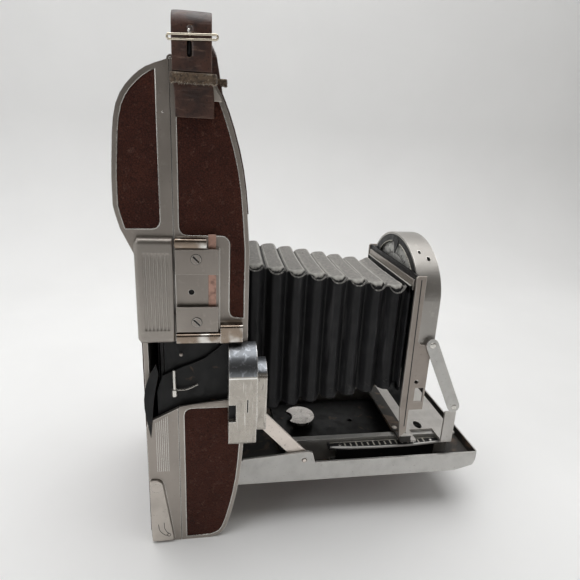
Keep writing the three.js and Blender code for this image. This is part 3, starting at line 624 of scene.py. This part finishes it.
def leather_skin(node, step, body):
    """The covering on one panel: its CAD outline with rolled edges and a slightly uneven face."""
    bm = bmesh.new()
    bm.from_mesh(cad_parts[node].data)
    bmesh.ops.scale(bm, vec=(1 / MM,) * 3, verts=bm.verts)
    bmesh.ops.remove_doubles(bm, verts=bm.verts, dist=0.002)
    bmesh.ops.dissolve_limit(bm, angle_limit=radians(0.6), verts=bm.verts, edges=bm.edges)
    if "near" in node:
        near_faces = [f for f in bm.faces if f.normal.x < -0.9]
        panel_lip(node + "_lip", max(near_faces, key=lambda f: f.calc_area()), body)
    sharp = [e for e in bm.edges if e.is_manifold and e.calc_face_angle(0) > radians(35)]
    bmesh.ops.bevel(bm, geom=sharp, offset=0.28, segments=3, profile=0.6, affect="EDGES")
    low = [min(v.co[i] for v in bm.verts) for i in range(3)]
    high = [max(v.co[i] for v in bm.verts) for i in range(3)]
    for axis in range(3):
        if high[axis] - low[axis] < 3:
            continue
        normal = Vector([1 if i == axis else 0 for i in range(3)])
        for k in range(1, int((high[axis] - low[axis]) / step)):
            at = Vector(low) + normal * k * step
            parts = bm.verts[:] + bm.edges[:] + bm.faces[:]
            bmesh.ops.bisect_plane(bm, geom=parts, plane_co=at, plane_no=normal)
    bmesh.ops.remove_doubles(bm, verts=bm.verts, dist=0.004)
    bm.normal_update()
    for vert in bm.verts:
        wave = noise.noise(vert.co / 5.0) + 0.6 * noise.noise(vert.co / 1.9)
        vert.co -= vert.normal * (0.05 + 0.05 * wave)
    piece = place(node + "_skin", bm, "leatherette", body)
    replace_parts(piece, node)


LEATHER_PANELS = (
    ("case_leather_near_upper", 1.3, BODY), ("case_leather_near_lower", 1.3, BODY),
    ("case_leather_far", 2.2, BODY), ("front_leather", 2.6, BODY),
    ("door_leather_near", 1.3, "back_door"), ("door_leather_far", 2.2, "back_door"),
    ("back_leather", 3.2, "back_door"), ("bed_leather", 3.0, "bed"),
)


# ---- ribbed grip
GROOVES, FIRST_GROOVE, GROOVE_PITCH = 7, 3.9, 1.85
GROOVE_FOOT, GROOVE_HEAD, GROOVE_DEPTH = 139.5, 178.0, 0.6
GRIP_ROUND = 3.2


def groove_depth(y, z):
    """How far the grip's near face is pressed in at a point: upright grooves with round ends."""
    deepest = 0.0
    for k in range(GROOVES):
        off = abs(y - FIRST_GROOVE - k * GROOVE_PITCH)
        past = max(0.0, GROOVE_FOOT - z, z - GROOVE_HEAD)
        deepest = max(deepest, 1 - hypot(off, past) / (0.42 * GROOVE_PITCH))
    return GROOVE_DEPTH * max(0.0, deepest) ** 0.6


def ribbed_grip():
    """A block that wraps the back edge of the door, with soft rounded edges and pressed grooves."""
    low, high = corners("ribbed_grip")
    wall, back = -59.05, 18.25
    outline = arc(low.x + 2.6, high.y - 2.6, 2.6, 90, 180, 8)
    flat = [(low.x, high.y - 2.6 - k * (high.y - low.y - 3.6) / 90) for k in range(1, 90)]
    outline += flat + arc(low.x + 1, low.y + 1, 1, 180, 270, 4)
    outline += [(wall, low.y), (wall, back), (high.x, back), (high.x, high.y)]
    rings = []
    heights = [low.z + (high.z - low.z) * k / 110 for k in range(111)]
    for z in heights:
        end = min(z - low.z, high.z - z)
        inset = 0.0
        if end < GRIP_ROUND:
            inset = GRIP_ROUND - sqrt(GRIP_ROUND ** 2 - (GRIP_ROUND - end) ** 2)
        ring = []
        for x, y in outline:
            if x < wall:
                x = min(wall - 0.05, x + inset + (groove_depth(y, z) if x < low.x + 0.1 else 0))
            if y > back + 0.1:
                y = max(back + 0.05, y - inset)
            ring.append(Vector((x, y, z)))
        rings.append(ring)
    grip = place("grip_block", ring_tube(rings), "grip_metal", "back_door")
    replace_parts(grip, "ribbed_grip")


# ---- bellows
PITCH, FIRST_FOLD = 12.1, -41.5  # spacing of the folds, and the y of one fold's outer edge
BAND_DEPTH, SIDE_DEPTH = 3.8, 5.4
REAR, JOIN, FRONT = 5.6, -120.4, -134.3  # ends of the bellows, and where its two stretches meet
SAG, SKEW = 3.2, 4.0
CLAMP = (-134.6, -133.4)  # front and back of the bars that hold the bellows to the standard


def bellows_size(y):
    """Half-width, bottom and top of the folds' outer edge at a depth y."""
    t = (REAR - y) / (REAR - FRONT)
    return 42.0 - 2.6 * t, 67.0 + 18.5 * t, 175.4 - 20.8 * t


def fold_height(y, sharpness):
    """1 along a fold's outer edge and 0 in the crease between two folds."""
    phase = ((y - FIRST_FOLD) / PITCH + 0.5) % 1.0
    rise = min(1.0, (1 - abs(phase - 0.5) * 2) * sharpness)
    return 0.55 * rise * rise * (3 - 2 * rise) + 0.45 * rise


def band_height(y):
    """The same for the top and bottom bands: steep in front, falling gently to the crease behind."""
    phase = ((y - FIRST_FOLD) / PITCH + 0.5) % 1.0
    front = min(1.0, phase / 0.22)
    back = min(1.0, (1 - phase) / 0.12)
    return sin(front * pi / 2) * (0.55 + 0.45 * cos(phase * 1.9)) * back ** 0.5


def settle(point):
    """Lets the bellows hang lower and further forward on its far side, as a worn one does."""
    x, y, z = point
    ends = max(0.0, min(1.0, (REAR - y) / 20, (y - FRONT) / 10))
    across = (x + 40) / 80
    return Vector((x, y - SKEW * across * ends, z - SAG * across * ends))


def bellows_ring(y, across=20, upright=18, corner=6):
    """One cross-section: wide flat bands on top and below, rounder folds at the sides."""
    side_height = fold_height(y, 1.45)
    half, bottom, top = bellows_size(y)
    half -= SIDE_DEPTH * (1 - side_height)
    bottom += BAND_DEPTH * (1 - band_height(y))
    top -= BAND_DEPTH * (1 - band_height(y))
    radius = 0.9 + 2.4 * side_height
    corners = ((half, top), (-half, top), (-half, bottom), (half, bottom))
    bends = []
    for n, (a, b) in enumerate(corners):
        up = radius if n > 1 else -radius
        bends.append(arc(a - copysign(radius, a), b + up, radius, 90 * n, 90 * n + 90, corner))
    ring = []
    for n, bend in enumerate(bends):
        (x0, z0), (x1, z1) = bend[-1], bends[(n + 1) % 4][0]
        ring += bend
        steps = across if n % 2 == 0 else upright
        for k in range(1, steps):
            t = k / steps
            x, z = x0 + (x1 - x0) * t, z0 + (z1 - z0) * t
            bow = sin(pi * t) ** 0.7 * (0.5 + 0.5 * side_height)
            wave = 0.3 * ripple(x / 8, y / 3, z / 8)
            if n % 2 == 0:
                z += (0.9 * bow + wave) * (1 if n else -1)
            else:
                x += (1.5 * min(1, 3 * bow) + wave) * (1 if n == 1 else -1)
            ring.append((x, z))
    return [settle((x, y, z)) for x, z in ring]


def flatten(piece):
    """Gives a piece of the bellows its own copy of its mesh."""
    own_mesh(piece)


def curled_tips(name, start, end, body, anchor, keep):
    """The stiff ends of the top bands along a stretch, curled down into troughs at the near corner."""
    bm = bmesh.new()
    reach = 0.4 * PITCH
    for k in range(-3, int((FIRST_FOLD - FRONT) / PITCH) + 1):
        y = FIRST_FOLD - k * PITCH
        if not start >= y > end:
            continue
        half, _, top = bellows_size(y)
        deep = random.Random(SEED + round(y)).uniform(3.2, 4.4)
        rings = []
        for n in range(21):
            t = n / 10 - 1
            z = top - 1.0 - deep * (1 - t * t) ** 0.7
            corners = ((-0.9, 0.35), (1.9, 0.35), (1.9, -0.35), (-0.9, -0.35))
            rings.append([settle((-half + a, y + t * reach, z + b)) for a, b in corners])
        ring_tube(rings, into=bm)
    piece = place(name, bm, "fold_edge", body)
    flatten(piece)


def bellows_part(name, start, end, body, anchor, keep):
    """A stretch of bellows, a thin skin; its anchor is not used."""
    steps = int(abs(end - start) / 0.6)
    depths = [start + (end - start) * i / steps for i in range(steps + 1)]
    bm = ring_tube([bellows_ring(y) for y in depths], closed_ends=False)
    piece = place(name, bm, "bellows_cloth", body)
    modifier(piece, "SOLIDIFY", thickness=0.5 * MM, offset=-1, use_even_offset=True)
    apply_modifiers(piece)
    set_smooth(piece)
    flatten(piece)
    return piece


def bellows():
    in_case, on_standard = (BODY, REAR, 0.035), ("standard", FRONT, 0.15)  # body, anchor, share kept
    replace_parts(bellows_part("bellows_rear_folds", REAR, JOIN, *in_case), "bellows")
    bellows_part("bellows_front_fold", JOIN + 0.3, FRONT, *on_standard)
    curled_tips("bellows_rear_tips", -20, JOIN, *in_case)
    curled_tips("bellows_front_tip", JOIN, FRONT, *on_standard)
    half, bottom, top = bellows_size(FRONT)
    bars = (
        ((-half - 0.6, top - 4.5), (half + 0.6, top + 0.6)),
        ((-half - 0.6, bottom - 0.6), (half + 0.6, bottom + 4.5)),
        ((-half - 0.6, bottom), (4.5 - half, top)),
        ((half - 4.5, bottom), (half + 0.6, top)),
    )
    for n, ((x0, z0), (x1, z1)) in enumerate(bars):
        bar = block((x0, CLAMP[0], z0), (x1, CLAMP[1], z1), 0.3)
        place(f"bellows_clamp_{n + 1}", bar, "bellows_cloth", "standard")


# ---- hand strap
STRAP_REAR, STRAP_FRONT = -0.6, -18.9
STRAP_MIDDLE = (STRAP_REAR + STRAP_FRONT) / 2
FAR_LEAN = -8.4  # how much further forward the strap lies on the far side


def band(name, path, widths, thickness):
    """A flat strap with rounded edges along a path; widths gives (rear y, front y) at each point."""
    rings = []
    half = thickness / 2
    inset = 0.2 * half
    across = (0, 0.16, 0.5, 0.84, 1)
    for i, point in enumerate(path):
        tangent = (path[min(i + 1, len(path) - 1)] - path[max(i - 1, 0)]).normalized()
        normal = Vector((-tangent.z, 0, tangent.x)).normalized()
        rear, front = widths[i]
        section = []
        for u, v in [(u, -1) for u in across] + [(u, 1) for u in reversed(across)]:
            y = rear + (front - rear) * u
            wobble = 0.18 * ripple(y / 5, point.z / 6, point.x / 9)
            edge = -inset if u in (0, 1) else 0
            section.append(Vector((point.x, y, point.z)) + normal * (v * (half + edge) + wobble))
        rings.append(section)
    piece = place(name, ring_tube(rings), "strap_leather")
    modifier(piece, "BEVEL", width=0.35 * MM, segments=2, limit_method="ANGLE",
             angle_limit=radians(45))
    modifier(piece, "SUBSURF", levels=2, render_levels=2)
    apply_modifiers(piece)
    return piece


def cut_slot(piece, y, z0, z1, width):
    """Cuts an upright rounded slot through a strap's near end."""
    radius = width / 2
    outline = arc(y, z1 - radius, radius, 0, 180, 8) + arc(y, z0 + radius, radius, 180, 360, 8)
    cutter = link("slot_cutter", ring_tube([[Vector((x, a, b)) for a, b in outline] for x in (-70, -50)]))
    modifier(piece, "BOOLEAN", operation="DIFFERENCE", solver="EXACT", object=cutter)
    apply_modifiers(piece)
    bpy.data.objects.remove(cutter)


def hand_strap():
    """The strap over the top, its folded near end with the buckle's slot, and the loops that keep it."""
    middle = STRAP_MIDDLE
    near = [(-60.3, 241.6), (-60.4, 248), (-60.7, 256), (-61.3, 262), (-62.0, 268), (-62.4, 272),
            (-62.4, 276.5)]
    top = [(-40, 284.9), (-20, 285.1), (0, 285.2), (20, 285.1), (40, 284.9)]
    far = [(62.2, 274), (61.8, 267), (61.0, 260), (60.6, 250), (60.4, 243)]
    bend_near, bend_far = arc(-55.6, 277.8, 6.8, 172, 92, 6), arc(55.6, 277.8, 6.8, 88, 8, 6)
    path = smooth_path([(x, middle, z) for x, z in near + bend_near + top + bend_far + far], 3)
    widths = []
    for point in path:
        lean = share((point.x - 20) / 40) * 3.6
        if point.x > 50:
            lean += 5.2 * share((284 - point.z) / 30)
        trim = 0.9 * share((point.z - 252) / 6)
        widths.append((STRAP_REAR - lean - 0.9 + trim, STRAP_FRONT - lean + trim))
    strap = band("strap_band", path, widths, 2.1)
    cut_slot(strap, middle + 1.0, 276.1, 278.9, 2.5)
    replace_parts(strap, "hand_strap")
    notch = [(-59.9, middle + 0.8, 282.7), (-58.7, middle + 0.8, 283.9), (-57.3, middle + 0.8, 284.6)]
    lay("strap_punch_mark", notch, 0.95, "black_paint")

    fold = smooth_path([(-64.0, middle, 260.6), (-64.1, middle, 265), (-64.3, middle, 269.5),
                        (-64.0, middle, 272.4), (-63.2, middle, 274.0)], 5)
    flap = band("strap_fold", fold, [(STRAP_REAR - 0.2, STRAP_FRONT + 1.0)] * len(fold), 1.5)
    cut_slot(flap, middle + 1.4, 266.0, 272.9, 2.2)
    # Painted shade: a black rod along the bottom of the buckle's slot
    floor = [(-62.75, middle + 1.4, 266.6), (-63.2, middle + 1.4, 269.5), (-63.3, middle + 1.4, 272.6)]
    lay("strap_slot_shade", floor, 1.0, "black_paint")

    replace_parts(keeper_loop("strap_keeper_near", -1, 0.0, 0.0), "strap_keeper")
    keeper_loop("strap_keeper_far", 1, FAR_LEAN, 11.0)
    buckle()


def keeper_loop(name, side, lean, lift):
    """A raw-edged leather loop round both layers, with loose fibres along its lower edge."""
    rear, front = STRAP_REAR + 1.0 + lean, STRAP_FRONT - 1.3 + lean
    inner, outer, foot = 59.6, 64.7, 255.6 + lift
    outline = []
    for n, (y, x, radius) in enumerate((
        (rear - 1.6, outer - 1.6, 1.6), (front + 1.6, outer - 1.6, 1.6),
        (front + 1.6, inner + 1.2, 1.2), (rear - 1.6, inner + 1.2, 1.2),
    )):
        outline += arc(y, x, radius, 90 * n, 90 * n + 90, 4 if n < 2 else 3)
    centre_y, centre_x = (rear + front) / 2, (inner + outer) / 2
    fine = []
    for (a0, b0), (a1, b1) in zip(outline, outline[1:] + outline[:1]):
        parts = max(1, int(hypot(a1 - a0, b1 - b0) / 0.7))
        fine += [(a0 + (a1 - a0) * k / parts, b0 + (b1 - b0) * k / parts) for k in range(parts)]
    rings = []
    for t, shrink in ((0, 0), (0.25, 0), (0.5, -0.12), (0.8, 0), (1, 0.1), (1, 0.9), (0.5, 1.0), (0, 0.9)):
        ring = []
        for a, b in fine:
            ragged = 0.55 * ripple(a / 0.9, b / 0.9, 4.0 * side) * (1 - t)
            pull = Vector((centre_y - a, centre_x - b)).normalized() * shrink
            ring.append(Vector((side * (b + pull.y), a + pull.x, foot + 4.5 * t + ragged)))
        rings.append(ring)
    bm = ring_tube(rings + [rings[0]], closed_ends=False)
    bmesh.ops.remove_doubles(bm, verts=bm.verts, dist=0.001)
    loop = place(name, bm, "raw_leather")
    draw = random.Random(SEED)
    fibres = bmesh.new()
    for _ in range(110):
        y = rear + (front - rear) * draw.random()
        x = side * (outer + draw.uniform(-0.5, 0.15))
        root = Vector((x, y, foot + 0.3 + draw.uniform(-0.3, 0.5)))
        tip = (x - side * draw.uniform(-0.3, 0.3), y + draw.uniform(-0.9, 0.9),
               root.z - draw.uniform(0.3, 1.1))
        across, deep = Vector((0, 0.14, 0)), Vector((0.14 * side, 0, 0))
        base = [fibres.verts.new(root + offset) for offset in (across, deep, -across, -deep)]
        point = fibres.verts.new(tip)
        for i in range(4):
            fibres.faces.new((base[i], base[(i + 1) % 4], point))
        fibres.faces.new(base[::-1])
    place(name + "_fibres", fibres, "frayed_edge")
    return loop


def buckle():
    """Wire frame, its tongue, and the small lugs that the strap is anchored to."""
    rear, front = STRAP_REAR + 1.6, STRAP_FRONT - 1.6
    outline = arc(rear - 1.0, 274.0, 1.0, -90, 90, 8) + arc(front + 1.0, 274.0, 1.0, 90, 270, 8)
    points = [(-64.5, a, b + 0.05 * (rear - a) - 0.4) for a, b in outline]
    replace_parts(lay("buckle_frame", points, 0.5, "brass", closed=True), "strap_buckle")
    tongue = ((-63.0, 1.2, 274.8), (-63.7, 1.4, 275.8), (-63.6, 1.5, 276.7), (-63.1, 1.6, 277.2))
    tongue = smooth_path([(x, STRAP_MIDDLE + y, z) for x, y, z in tongue], 4)
    lay("buckle_tongue", tongue, 0.65, "steel")
    for side, label, shift in ((-1, "near", 0.0), (1, "far", FAR_LEAN / 2)):
        outline = [(-18.2, 256.8), (-18.2, 249.2), (-22.6, 249.2), (-22.2, 250.4)]
        rings = [[Vector((side * x, y + shift, z)) for y, z in outline] for x in (59.0, 59.9)]
        lug = place(f"strap_lug_{label}", ring_tube(rings), "pale_aluminium", smooth=False)
        modifier(lug, "BEVEL", width=0.2 * MM, segments=2)


# ---- markings and small hardware
UP, NEAR, FAR, LENSWARD = Vector((0, 0, 1)), Vector((-1, 0, 0)), Vector((1, 0, 0)), Vector((0, -1, 0))


def strip(name, outline, axis, low, high, material, body=BODY):
    """A thin plate: an outline in the two other axes, thick along one axis."""
    others = [i for i in range(3) if i != axis]
    rings = []
    for at in (low, high):
        ring = []
        for a, b in outline:
            point = Vector((0, 0, 0))
            point[axis], point[others[0]], point[others[1]] = at, a, b
            ring.append(point)
        rings.append(ring)
    return place(name, ring_tube(rings), material, body, smooth=False)


def button(name, at, axis, radius, height, material, body=BODY):
    profile = [(0, -0.3), (radius, -0.3), (radius, height * 0.35), (radius * 0.88, height * 0.72),
               (radius * 0.6, height * 0.93), (0, height)]
    place(name, turned(Vector(at), axis, profile, 20), material, body)


def screw_slot(x, y, reach, half):
    """Outline of a slot cut at 45 degrees across a screw head."""
    turns = ((1, 1), (1, -1), (-1, -1), (-1, 1))
    return [(x + a * reach + b * half, y + a * reach - b * half) for a, b in turns]


def distance_marks():
    """Cream ticks, a rim, an inner line and two rivets on the distance scale."""
    low, high = corners("distance_scale")
    bm = bmesh.new()
    for k in range(15):
        y = low.y + 13 + k * 3.9
        x0, x1 = low.x + 2.4, low.x + (6.0 if k % 3 else 7.0)
        add_box(bm, [Vector((x, y + dy, z)) for z in (high.z + 0.01, high.z + 0.12)
                     for x, dy in ((x0, -0.45), (x1, -0.45), (x1, 0.45), (x0, 0.45))])
    place("distance_ticks", bm, "scale_ink", "bed", smooth=False)
    edge = []
    for t in [i / 24 for i in range(25)]:
        bow = 2.2 * (abs(t - 0.5) * 2) ** 2
        edge.append((low.x + 0.5 + bow, low.y + 1 + t * (high.y - low.y - 2), high.z - 0.2))
    lay("distance_scale_rim", edge, 0.95, "bed_aluminium", "bed")
    inner = [(high.x - 0.5, y, high.z - 0.1) for y in (low.y + 1.5, high.y - 1.5)]
    lay("distance_scale_line", inner, 0.32, "scale_ink", "bed")
    for n, y in enumerate((low.y + 8, high.y - 8)):
        button(f"distance_scale_rivet_{n + 1}", (high.x - 3.2, y, high.z), UP, 1.1, 0.5, "steel", "bed")


def rivets():
    """Studs on the carriage and the pivots of braces and struts, on both sides."""
    for side, away, label in ((-1, NEAR, "near"), (1, FAR, "far")):
        for name, at, axis, radius, height, material, body in (
            ("carriage_stud", (28.5, -140.4, 49.5), UP, 1.9, 1.3, "pale_aluminium", "carriage"),
            ("standard_pivot", (46.5, -150, 119), away, 2.0, 0.7, "steel", "braces"),
            ("brace_foot", (46.5, -170.6, 75.6), away, 1.8, 0.6, "steel", "braces"),
            ("strut_head", (48.5, -25.1, 97.8), away, 2.4, 0.7, "steel", "struts"),
        ):
            button(f"{name}_{label}", (side * at[0], at[1], at[2]), axis, radius, height, material, body)


def engraved_latch():
    """Two curved grooves and a small ring on the latch lever, and a ring round its pivot."""
    x = corners("door_latch_lever")[0].x
    outer = [(13.9, 14), (13.2, 9.5), (10.6, 6.2), (8.6, 5.6)]
    inner = [(10.6, 15), (10.4, 11), (9.2, 8.2), (7.9, 6.9)]
    for label, groove in (("outer", outer), ("inner", inner)):
        line = smooth_path([(x, y, z) for y, z in groove], 6)
        lay(f"latch_groove_{label}", line, 0.16, "black_paint", "door_latch")
    ring = [(x, a, b) for a, b in arc(8.0, 5.9, 0.95, 0, 345, 23)]
    lay("latch_ring", ring, 0.16, "black_paint", "door_latch", closed=True)
    pivot = [(x + 0.06, a, b) for a, b in arc(14.0, 39.6, 3.0, 0, 345, 23)]
    lay("latch_pivot_ring", pivot, 0.12, "satin_metal", "door_latch", closed=True)


def exposure_marks():
    """Ticks, white arcs and a pointer in the window behind the shutter housing."""
    at = Vector((0, corners("exposure_scale")[1].y + 0.03, 146))
    bm = bmesh.new()
    squash, depths = 0.76, (0, 0.12)
    for k in range(33):
        add_tick(bm, at, radians(28 + k * 3.9), (33.2 if k % 4 else 31.6, 35.0), 0.22, depths, squash)
    for k in range(24):
        add_tick(bm, at, radians(35 + k * 4.9), (24.5, 26.4 if k % 3 else 28.2), 0.3, depths, squash)
    place("exposure_ticks", bm, "black_paint", "standard", smooth=False)
    plate = corners("dial_plate")[1].y
    for label, start, end in (("far", 22, 80), ("near", 100, 160)):
        line = [(a, plate + 0.05, b) for a, b in arc(0, 145, 35.6, start, end, 24, 28.0)]
        lay(f"dial_line_{label}", line, 0.42, "scale_ink", "standard")
    pointer = [(-5.0, 175.6), (5.0, 175.6), (0.4, 165.4), (-0.4, 165.4)]
    notch = strip("dial_pointer", pointer, 1, plate - 0.2, plate + 0.3, "black_paint", "standard")
    modifier(notch, "BEVEL", width=0.12 * MM, segments=2)


def shoe_details():
    """Black painted shade at the floor of the hole in the shoe, its screws' slots and rings, and a seam
    line down each cheek.
    """
    # Painted shade: a black disc at the floor of the hole
    button("shoe_hole_shade", (-58.9, -7.4, 158), NEAR, 1.45, 0.35, "black_paint")
    for name in ("upper", "lower"):
        low, high = corners("shoe_screw_" + name)
        y, z = (low.y + high.y) / 2, (low.z + high.z) / 2
        slot = screw_slot(y, z, 1.55, 0.34)
        strip(f"shoe_slot_{name}", slot, 0, low.x - 0.03, low.x + 0.2, "black_paint")
        ring = [(low.x + 0.42, a, b) for a, b in arc(y, z, 2.62, 0, 350, 35)]
        lay(f"shoe_ring_{name}", ring, 0.12, "black_paint", closed=True)
    seam = [(-138.3, 160), (-137.7, 160), (-138.9, 62), (-139.5, 62)]
    for label, low, high in (("near", -45.08, -44.9), ("far", 44.9, 45.08)):
        strip("cheek_seam_" + label, seam, 0, low, high, "black_paint", "standard")


def numeral(text, size):
    """A mesh of that text, standing upright and facing the lens side, centred on its own origin."""
    curve = bpy.data.curves.new("numeral", "FONT")
    curve.body, curve.size, curve.extrude = text, size, 0.06
    curve.align_x = curve.align_y = "CENTER"
    holder = bpy.data.objects.new("numeral", curve)
    mesh = bpy.data.meshes.new_from_object(holder)
    mesh.transform(Matrix.Rotation(radians(90), 4, "X"))
    bpy.data.objects.remove(holder)
    bpy.data.curves.remove(curve)
    return mesh


def shutter_face():
    """Rim line, screws and a numbered scale on the shutter's face, and click marks on its dial ring."""
    face = corners("shutter_housing")[0].y
    low, high = corners("exposure_dial")
    centre = (low.z + high.z) / 2
    rim = arc(0, 145, 39.6, 0, 180, 30, 30.4) + arc(0, 118, 39.6, 180, 360, 30, 28.4)
    lay("shutter_rim", [(a, face, b) for a, b in rim], 0.3, "steel", "standard", closed=True)
    for n, (x, z) in enumerate(((-31, 150), (31, 150), (-31, 107), (31, 107))):
        button(f"face_screw_{n + 1}", (x, face, z), LENSWARD, 2.0, 0.6, "steel", "standard")
        slot = screw_slot(x, z, 1.2, 0.22)
        strip(f"face_slot_{n + 1}", slot, 1, face - 0.64, face - 0.4, "black_paint", "standard")
    scale = bmesh.new()
    count, first, last, reach = 8, 150, 30, 23.6
    for k in range(count):
        angle = radians(first + (last - first) * k / (count - 1))
        digit = numeral(str(k + 1), 4.6)
        at = (reach * cos(angle), face - 0.03, centre + reach * sin(angle))
        digit.transform(Matrix.Translation(at))
        scale.from_mesh(digit)
        bpy.data.meshes.remove(digit)
    place("face_numbers", scale, "black_paint", "standard", smooth=False)
    ring = bmesh.new()
    middle = Vector((0, low.y, centre))
    for k in range(36):
        half, inner = (0.45, 13.9) if k == 0 else (0.16, 15.6 if k % 3 else 14.8)
        add_tick(ring, middle, radians(last + 10 * k), (inner, 17.3), half, (-0.06, 0.1))
    place("dial_marks", ring, "black_paint", "exposure_dial", smooth=False)


def window_details():
    """The side window's rolled lip and screw, black painted shade in two holes in the finder, the door's
    reeds and a dot on it.
    """
    lip = smooth_path([(-59.3, -28.6, 94.2), (-59.4, -20, 93.6), (-59.4, -8, 92.2), (-59.3, 0.2, 90.9)], 6)
    lay("window_lip", lip, 0.8, "satin_metal")
    button("window_screw", (-55.4, -1.2, 121.2), NEAR, 1.0, 0.5, "satin_metal")
    # Painted shade: black strips at the floors of the finder's notch and slit
    notch = [(-29.95, 90.05), (-26.25, 90.05), (-26.25, 99.95), (-29.95, 99.95)]
    slit = [(-36.38, 95.1), (-35.82, 95.1), (-35.82, 102.9), (-36.38, 102.9)]
    for name, outline, x in (("finder_notch_shade", notch, -70.5), ("finder_slit_shade", slit, -73.2)):
        strip(name, outline, 0, x - 0.12, x + 0.1, "black_paint")
    for k in range(7):
        y, foot, head = 6.8 + 1.05 * k, 50.0, 86.4 - 0.75 * k
        reed = [(y - 0.17, foot), (y + 0.17, foot), (y + 0.17, head), (y - 0.17, head)]
        strip(f"door_reed_{k + 1}", reed, 0, -59.14, -58.9, "housing_metal", "back_door")
    button("case_dot", (-59.0, 4.2, 243.5), NEAR, 0.5, 0.25, "steel", "back_door")


# ---- set, light and camera
def set_and_light():
    """Pale floor that sweeps up into a wall, two softboxes and a room brighter on the far side."""
    bm = bmesh.new()
    half, wall_x, height, bend = 2600, 640, 2200, 260
    profile = [(-2400, 0), (wall_x - bend, 0)]
    profile += [(wall_x - bend + bend * sin(t), bend - bend * cos(t))
                for t in [pi / 2 * i / 16 for i in range(1, 17)]]
    profile += [(wall_x, height)]
    rows = [[bm.verts.new(Vector((x, y, z))) for x, z in profile] for y in (-half, half)]
    for i in range(len(profile) - 1):
        bm.faces.new((rows[0][i], rows[0][i + 1], rows[1][i + 1], rows[1][i]))
    backdrop = link("backdrop", bm)
    backdrop.data.materials.append(MATERIALS["pale_paper"])
    set_smooth(backdrop)

    def softbox(name, at, aim, size, power, colour=(1, 1, 1)):
        light = bpy.data.lights.new(name, "AREA")
        light.shape, light.size, light.energy, light.color = "SQUARE", size, power, colour
        holder = add(name, light)
        holder.location = Vector(at) * MM
        direction = (Vector(aim) - Vector(at)).normalized()
        holder.rotation_mode = "QUATERNION"
        holder.rotation_quaternion = direction.to_track_quat("-Z", "Y")

    softbox("overhead", (120, -60, 1250), (0, -60, 100), 1.3, 13.8)
    softbox("window", (-420, 900, 620), (0, -60, 120), 0.7, 2.4, (0.96, 0.98, 1.0))
    world = bpy.data.worlds.new("room")
    room = Nodes(world)
    across = room.node("SeparateXYZ", {0: room.node("TexCoord", output="Generated")}, "X")
    spread = room.node("MapRange", {0: across, 1: -0.9, 2: 0.6})
    tones = {0: spread, 6: (0.145, 0.13, 0.115), 7: (0.86, 0.87, 0.86)}
    walls = room.nodes["Background"].inputs
    room.put(walls["Color"], room.node("Mix", tones, 2, data_type="RGBA"))
    room.put(walls["Strength"], 0.6)
    bpy.context.scene.world = world


def camera(at=(-295.6, -17.5, 234.7), azimuth=-99.77, elevation=17.55, roll=2.8, lens=29.67):
    """Looks across the near side, a little down and towards the lens end."""
    data = bpy.data.cameras.new("camera")
    data.sensor_width, data.lens = 36, lens
    data.clip_start, data.clip_end = 0.01, 20
    holder = add("camera", data)
    a, e = radians(azimuth), radians(elevation)
    back = Vector((sin(a) * cos(e), -cos(a) * cos(e), sin(e)))
    right = Vector((0, 0, 1)).cross(back).normalized()
    axes = Matrix((right, back.cross(right), back)).transposed()
    turn = axes @ Matrix.Rotation(radians(roll), 3, "Z")
    holder.matrix_world = Matrix.Translation(Vector(at) * MM) @ turn.to_4x4()
    bpy.context.scene.camera = holder
    view = bpy.context.scene.view_settings
    view.view_transform = "Standard"
    view.exposure = 0.0


finish_cad_nodes()
for panel, grid, rides_on in LEATHER_PANELS:
    leather_skin(panel, grid, rides_on)
ribbed_grip()
bellows()
hand_strap()
distance_marks()
rivets()
engraved_latch()
exposure_marks()
shoe_details()
shutter_face()
window_details()
set_and_light()
camera()
